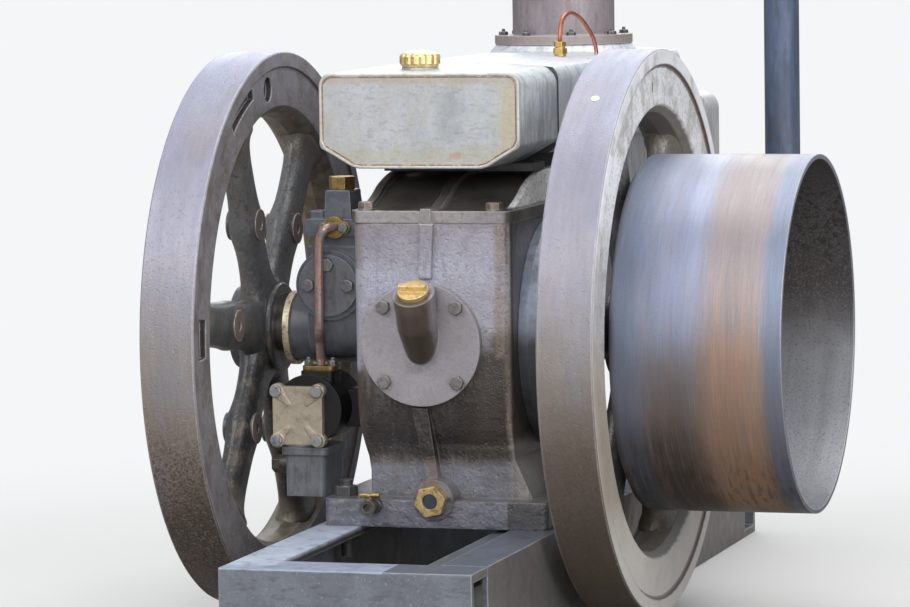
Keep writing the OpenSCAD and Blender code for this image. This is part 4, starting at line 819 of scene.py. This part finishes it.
# Turned shape from (outline, radius, height) rings round an axis
def lathe(mesh, rings, spot, axis, points=24, spin=0.0, flutes=0, fluteDeep=0.0):
    turnTo = Vector(axis).normalized().to_track_quat("Z", "X").to_matrix()
    loops = []
    for shape, radius, height in rings:
        loop = []
        for k in range(points):
            angle = 2 * math.pi * k / points + spin
            reach = radius
            if shape == "hex":
                folded = (angle - spin) % (math.pi / 3) - math.pi / 6
                reach = radius / math.cos(folded)
            if shape == "fluted":
                reach = radius - fluteDeep * (1 - abs(math.sin(flutes * angle / 2)))
            local = Vector((reach * math.cos(angle), reach * math.sin(angle), height)) * mm
            loop.append(mesh.verts.new(turnTo @ local + spot))
        loops.append(loop)
    skinRings(mesh, loops)


# Hexagon heads with a turned chamfer, on a washer and with a stud's end where they have one
def hexHeads(name, spots, axis, flats, height, washer=0.0, stud=0.0, material=None, body="engine"):
    gap, chamfer, washerThick, studOut = 0.1, 1.4, 2.0, 4.0
    half = flats / 2
    mesh = bmesh.new()
    for spot in spots:
        where = fromCrank(*spot)
        base = gap
        if washer:
            edge = washerThick - 0.4
            lathe(mesh, [("round", washer, base), ("round", washer, base + edge),
                         ("round", washer - 0.5, base + washerThick)], where, axis)
            base += washerThick + gap
        top = base + height
        spin = random.uniform(0, math.pi / 3)
        lathe(mesh, [("hex", half, base), ("hex", half, top - chamfer), ("round", half * 0.99, top - 0.2),
                     ("round", half * 0.9, top)], where, axis, 36, spin)
        if stud:
            tip = top + gap
            lathe(mesh, [("round", stud, tip), ("round", stud, tip + studOut - 1),
                         ("round", stud - 1, tip + studOut)], where, axis)
    return addPiece(name, mesh, material or boltMaterial, body)


# Bead of round section along a closed loop of points in mm
def bead(name, loop, radius, material, points=8):
    mesh = bmesh.new()
    spots = [fromCrank(*p) for p in loop]
    angles = [2 * math.pi * k / points for k in range(points)]
    rings = []
    for i, spot in enumerate(spots):
        along = (spots[(i + 1) % len(spots)] - spots[i - 1]).normalized()
        side = along.cross(Vector((0.02, 1.0, 0.03))).normalized()
        other = along.cross(side)
        rings.append([mesh.verts.new(spot + (side * math.cos(a) + other * math.sin(a)) * radius * mm)
                      for a in angles])
    skinRings(mesh, rings, closed=True)
    return addPiece(name, mesh, material)


# Offsets of bolts: at the corners of a rectangle, or round a circle from a start angle in degrees
def corners(across, along):
    return [(sx * across, sz * along) for sx in (-1, 1) for sz in (-1, 1)]


def boltCircle(radius, start, step, count):
    angles = [math.radians(start + step * k) for k in range(count)]
    return [(radius * math.cos(a), radius * math.sin(a)) for a in angles]


# Spots on a plane across axis 0, 1 or 2, at offsets from a middle point, in mm from the crank axis
def spotsOn(axis, plane, middle, offsets):
    spots = []
    for first, second in offsets:
        spot = [middle[0] + first, middle[1] + second]
        spot.insert(axis, plane)
        spots.append(spot)
    return spots


# Bolts and nuts. flats is the width of the hexagon, washer and stud are radii.
toFront, toRear, toRight, toTop = (0, -1, 0), (0, 1, 0), (1, 0, 0), (0, 0, 1)
filterSet = {"middle": (-172, -106), "face": -127.3, "spread": (28.5, 33), "boss": 1.9}
boltSets = {
    "round_cover_bolts": {
        "spots": spotsOn(1, -193.3, (21, -2), corners(49.5, 49)), "axis": toFront, "flats": 17, "height": 7},
    "top_cover_bolts": {
        "spots": [(-57, -170, 172), (118, -173, 172)], "axis": toTop, "flats": 19, "height": 9, "washer": 11,
        "material": bronzeBolt},
    "governor_plate_bolts": {
        "spots": spotsOn(1, -110.2, (-131.3, 67), boltCircle(27.5, 0, 90, 3)), "axis": toFront, "flats": 16,
        "height": 6},
    "filter_cover_bolts": {
        "spots": spotsOn(1, filterSet["face"] - filterSet["boss"], filterSet["middle"],
                         corners(*filterSet["spread"])),
        "axis": toFront, "flats": 15, "height": 6, "material": brightBolt},
    "filter_inlet_nuts": {
        "spots": spotsOn(2, -41.8, (-150, -90), [(-17, 0), (17, 0)]), "axis": toTop, "flats": 12, "height": 7,
        "stud": 3},
    "pipe_flange_bolts": {
        "spots": spotsOn(1, -106.2, (-122.8, 144), [(-13.5, 0), (13.5, 0)]), "axis": toFront, "flats": 12,
        "height": 6},
    "steam_pipe_bolts": {
        "spots": spotsOn(2, 380.2, (20, 545), boltCircle(88, 22, 45, 8)), "axis": toTop, "flats": 12,
        "height": 5, "stud": 2.5, "material": darkBolt},
    "pulley_bolts": {
        "spots": spotsOn(0, 295.2, (0, 0), boltCircle(158, 54, 60, 6)), "axis": toRight, "flats": 19,
        "height": 9, "washer": 12, "body": "crank_group"},
    "head_nuts": {
        "spots": spotsOn(1, 811, (33, 40), [(-96, 128), (-98, 10), (-96, -128), (96, -128), (0, -134),
                                            (98, 10), (96, 128)]),
        "axis": toRear, "flats": 22, "height": 12, "washer": 14, "stud": 7},
    "rocker_cover_nuts": {
        "spots": [(35, 887, 250), (35, 887, 90)], "axis": toRear, "flats": 19, "height": 9, "washer": 13,
        "stud": 5, "material": bronzeBolt},
    "exhaust_flange_nuts": {
        "spots": spotsOn(0, 153, (752, 96), corners(38, 34)), "axis": toRight, "flats": 17, "height": 9,
        "washer": 10, "stud": 4, "material": darkBolt},
    "bearing_housing_bolts": {
        "spots": spotsOn(0, 175.2, (0, 0), boltCircle(106, 15, 60, 6)), "axis": toRight, "flats": 17,
        "height": 8, "washer": 10},
    "block_flange_nuts": {
        "spots": [(33 + x, 191, z) for x in (-102, 102) for z in (-70, 10, 90)], "axis": toRear, "flats": 12,
        "height": 9, "material": darkBolt},
}
for name, spec in boltSets.items():
    hexHeads(name, **spec)

# Raised ribs that run in from the filter cover's corners, and round bosses under its bolts
ribSet = {"from": (30, 34), "to": (11, 14), "wide": (9.5, 3.5), "high": (2.4, 0.9), "sunk": 0.3, "crown": 0.7,
          "facets": 8}
bossRings = [("round", 10, -0.4), ("round", 9.6, 1.4), ("round", 8.8, 2.0)]
coverX, coverZ = filterSet["middle"]
facets = ribSet["facets"]
along = Vector((ribSet["to"][0] - ribSet["from"][0], ribSet["to"][1] - ribSet["from"][1])).normalized()
ribMesh = bmesh.new()
for sx, sz in corners(1, 1):
    ends = []
    for (x, z), wide, high in zip((ribSet["from"], ribSet["to"]), ribSet["wide"], ribSet["high"]):
        ring = []
        for k in range(facets + 1):
            a = math.pi * k / facets
            across = wide * math.cos(a)
            out = filterSet["face"] + ribSet["sunk"] - high * math.sin(a) ** ribSet["crown"]
            spot = (coverX + sx * (x - along[1] * across), out, coverZ + sz * (z + along[0] * across))
            ring.append(ribMesh.verts.new(fromCrank(*spot)))
        ends.append(ring)
    for k in range(facets):
        ribMesh.faces.new((ends[0][k], ends[0][k + 1], ends[1][k + 1], ends[1][k]))
    ribMesh.faces.new((ends[0][0], ends[1][0], ends[1][facets], ends[0][facets]))
    ribMesh.faces.new(ends[0])
    ribMesh.faces.new(list(reversed(ends[1])))
for boss in spotsOn(1, filterSet["face"] + 0.2, filterSet["middle"], corners(*filterSet["spread"])):
    lathe(ribMesh, bossRings, fromCrank(*boss), toFront, 32)
addPiece("filter_cover_ribs", ribMesh, bronzePlate)

# Tank cap: cast brass with fluted sides and a low dome
capSet = {"spot": (-2, -99, 356.25), "flutes": 14, "deep": 2.2, "points": 168, "spin": 0.1,
          "rings": [("round", 24, 0), ("round", 25, 3), ("fluted", 27, 4.5), ("fluted", 27, 14.5),
                    ("fluted", 25.5, 17), ("round", 21, 19.2), ("round", 12, 21.4), ("round", 4, 22)]}
capMesh = bmesh.new()
lathe(capMesh, capSet["rings"], fromCrank(*capSet["spot"]), toTop, capSet["points"], capSet["spin"],
      capSet["flutes"], capSet["deep"])
cap = addPiece("fluted_tank_cap", capMesh, capBrass)
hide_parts("tank_cap")

# Rolled rim and solder line round the tank's front plate, with eased ends on its lower chamfers
tankSet = {"middle": 20, "width": 272, "low": 227, "high": 351, "front": -181, "corner": 16,
           "chamfer": (52, 32), "easeTop": ((0, 2), (4, -7)), "easeFoot": ((10, 2.5), (0, 0)),
           "rim": {"inset": 2.0, "out": 0.8, "radius": 2.2},
           "seam": {"inset": 4.6, "out": -0.1, "radius": 1.0}}


def tankLoop(inset, out):
    half = tankSet["width"] / 2 - inset
    low, high = tankSet["low"] + inset, tankSet["high"] - inset
    corner = tankSet["corner"] - inset * 0.5
    points = []
    for middle, start in (((half - corner, high - corner), 0), ((-half + corner, high - corner), 90)):
        for k in range(7):
            a = math.radians(start + 15 * k)
            points.append((middle[0] + corner * math.cos(a), middle[1] + corner * math.sin(a)))
    wide, tall = tankSet["chamfer"]
    side = [(half - x, low + tall + z) for x, z in tankSet["easeTop"]]
    side += [(half - wide + x, low + z) for x, z in tankSet["easeFoot"]]
    points += [(-x, z) for x, z in side] + side[::-1]
    return [(tankSet["middle"] + x, tankSet["front"] + out, z) for x, z in points]


rim, seam = tankSet["rim"], tankSet["seam"]
bead("tank_front_rim", tankLoop(rim["inset"], rim["out"]), rim["radius"], tankRim, points=10)
bead("tank_front_seam", tankLoop(seam["inset"], seam["out"]), seam["radius"], solder)

# Cast spokes: rounded arms that swell into the hub, the bolt bosses and the rim, with the mould's seam along
# both edges. A swell is (width, thickness, reach); that of the bosses differs inside and outside.
spokeSet = {"phase": 54, "count": 6, "hub": 50, "rim": 289, "wide": (31.8, 27.4), "thick": 16.7, "power": 2.5,
            "hubSwell": (17, 7, 15), "rimSwell": (17, 8, 13), "seam": 0.9, "seamFrom": 0.985, "around": 40,
            "boss": {"at": 158, "reach": 24, "wide": 3.0, "inner": 2.4, "outer": 5.6},
            "steps": (38, 46, 50, 54, 58, 63, 69, 76, 85, 97, 112, 126, 138, 148, 158, 168, 178, 190, 205,
                      225, 242, 254, 263, 270, 276, 281, 285, 289, 293, 299)}


# Half width and the inner and outer half thickness at a radius
def spokeSection(radius):
    fromHub, toRim = radius - spokeSet["hub"], spokeSet["rim"] - radius
    share = fromHub / (spokeSet["rim"] - spokeSet["hub"])
    wide = spokeSet["wide"][0] + (spokeSet["wide"][1] - spokeSet["wide"][0]) * share
    thick = spokeSet["thick"]
    for (sideways, across, reach), away in ((spokeSet["hubSwell"], fromHub), (spokeSet["rimSwell"], toRim)):
        wide += sideways * math.exp(-max(away, 0) / reach)
        thick += across * math.exp(-max(away, 0) / reach)
    boss = spokeSet["boss"]
    swell = math.exp(-((radius - boss["at"]) / boss["reach"]) ** 2)
    return wide + boss["wide"] * swell, thick + boss["inner"] * swell, thick + boss["outer"] * swell


def castSpokes(name, middle):
    mesh = bmesh.new()
    around, power = spokeSet["around"], 2 / spokeSet["power"]
    for k in range(spokeSet["count"]):
        angle = math.radians(spokeSet["phase"] + 360 / spokeSet["count"] * k)
        rings = []
        for radius in spokeSet["steps"]:
            wide, inward, outward = spokeSection(radius)
            ring = []
            for j in range(around):
                a = 2 * math.pi * (j + 0.5) / around
                c, d = math.cos(a), math.sin(a)
                across = math.copysign(abs(c) ** power, c) * wide
                thick = inward if d * middle < 0 else outward
                out = math.copysign(abs(d) ** power, d) * thick
                if abs(c) > spokeSet["seamFrom"]:
                    across += math.copysign(spokeSet["seam"], c)
                y = radius * math.cos(angle) - across * math.sin(angle)
                z = radius * math.sin(angle) + across * math.cos(angle)
                ring.append(mesh.verts.new(fromCrank(middle + out, y, z)))
            rings.append(ring)
        skinRings(mesh, rings)
    for face in mesh.faces:
        face.smooth = len(face.verts) == 4
    return addPiece(name, mesh, spokeIron, "crank_group")


castSpokes("cast_spokes_left", -260)
castSpokes("cast_spokes_right", 260)

# Ringed collar at each hub's inner end
collarSet = {"from": 235, "points": 72,
             "rings": [("round", 57, -10), ("round", 60.5, -8.5), ("round", 61, -5), ("round", 57.4, -4),
                       ("round", 57.4, -2.8), ("round", 60.5, -1.8), ("round", 61, 1), ("round", 59.5, 3),
                       ("round", 55, 4), ("round", 48, 3.6), ("round", 45, 1.5), ("round", 36, 1.2),
                       ("round", 34, 0.3)]}
for side, inward in (("left", 1), ("right", -1)):
    collar = bmesh.new()
    lathe(collar, collarSet["rings"], fromCrank(-collarSet["from"] * inward, 0, 0), (inward, 0, 0),
          collarSet["points"])
    addPiece("hub_collar_" + side, collar, spokeIron, "crank_group")

# White metal plug in the right wheel's tread
plugSet = {"angle": 122, "x": 262, "radius": 375, "points": 20,
           "rings": [("round", 5.8, -0.6), ("round", 5.8, 0.5), ("round", 5.0, 0.9)]}
plugAngle = math.radians(plugSet["angle"])
plugY, plugZ = math.cos(plugAngle), math.sin(plugAngle)
plugSpot = fromCrank(plugSet["x"], plugSet["radius"] * plugY, plugSet["radius"] * plugZ)
plugMesh = bmesh.new()
lathe(plugMesh, plugSet["rings"], plugSpot, (0, plugY, plugZ), plugSet["points"])
addPiece("tread_plug", plugMesh, plugLead, "crank_group")
print("bolts, cap and seams added")
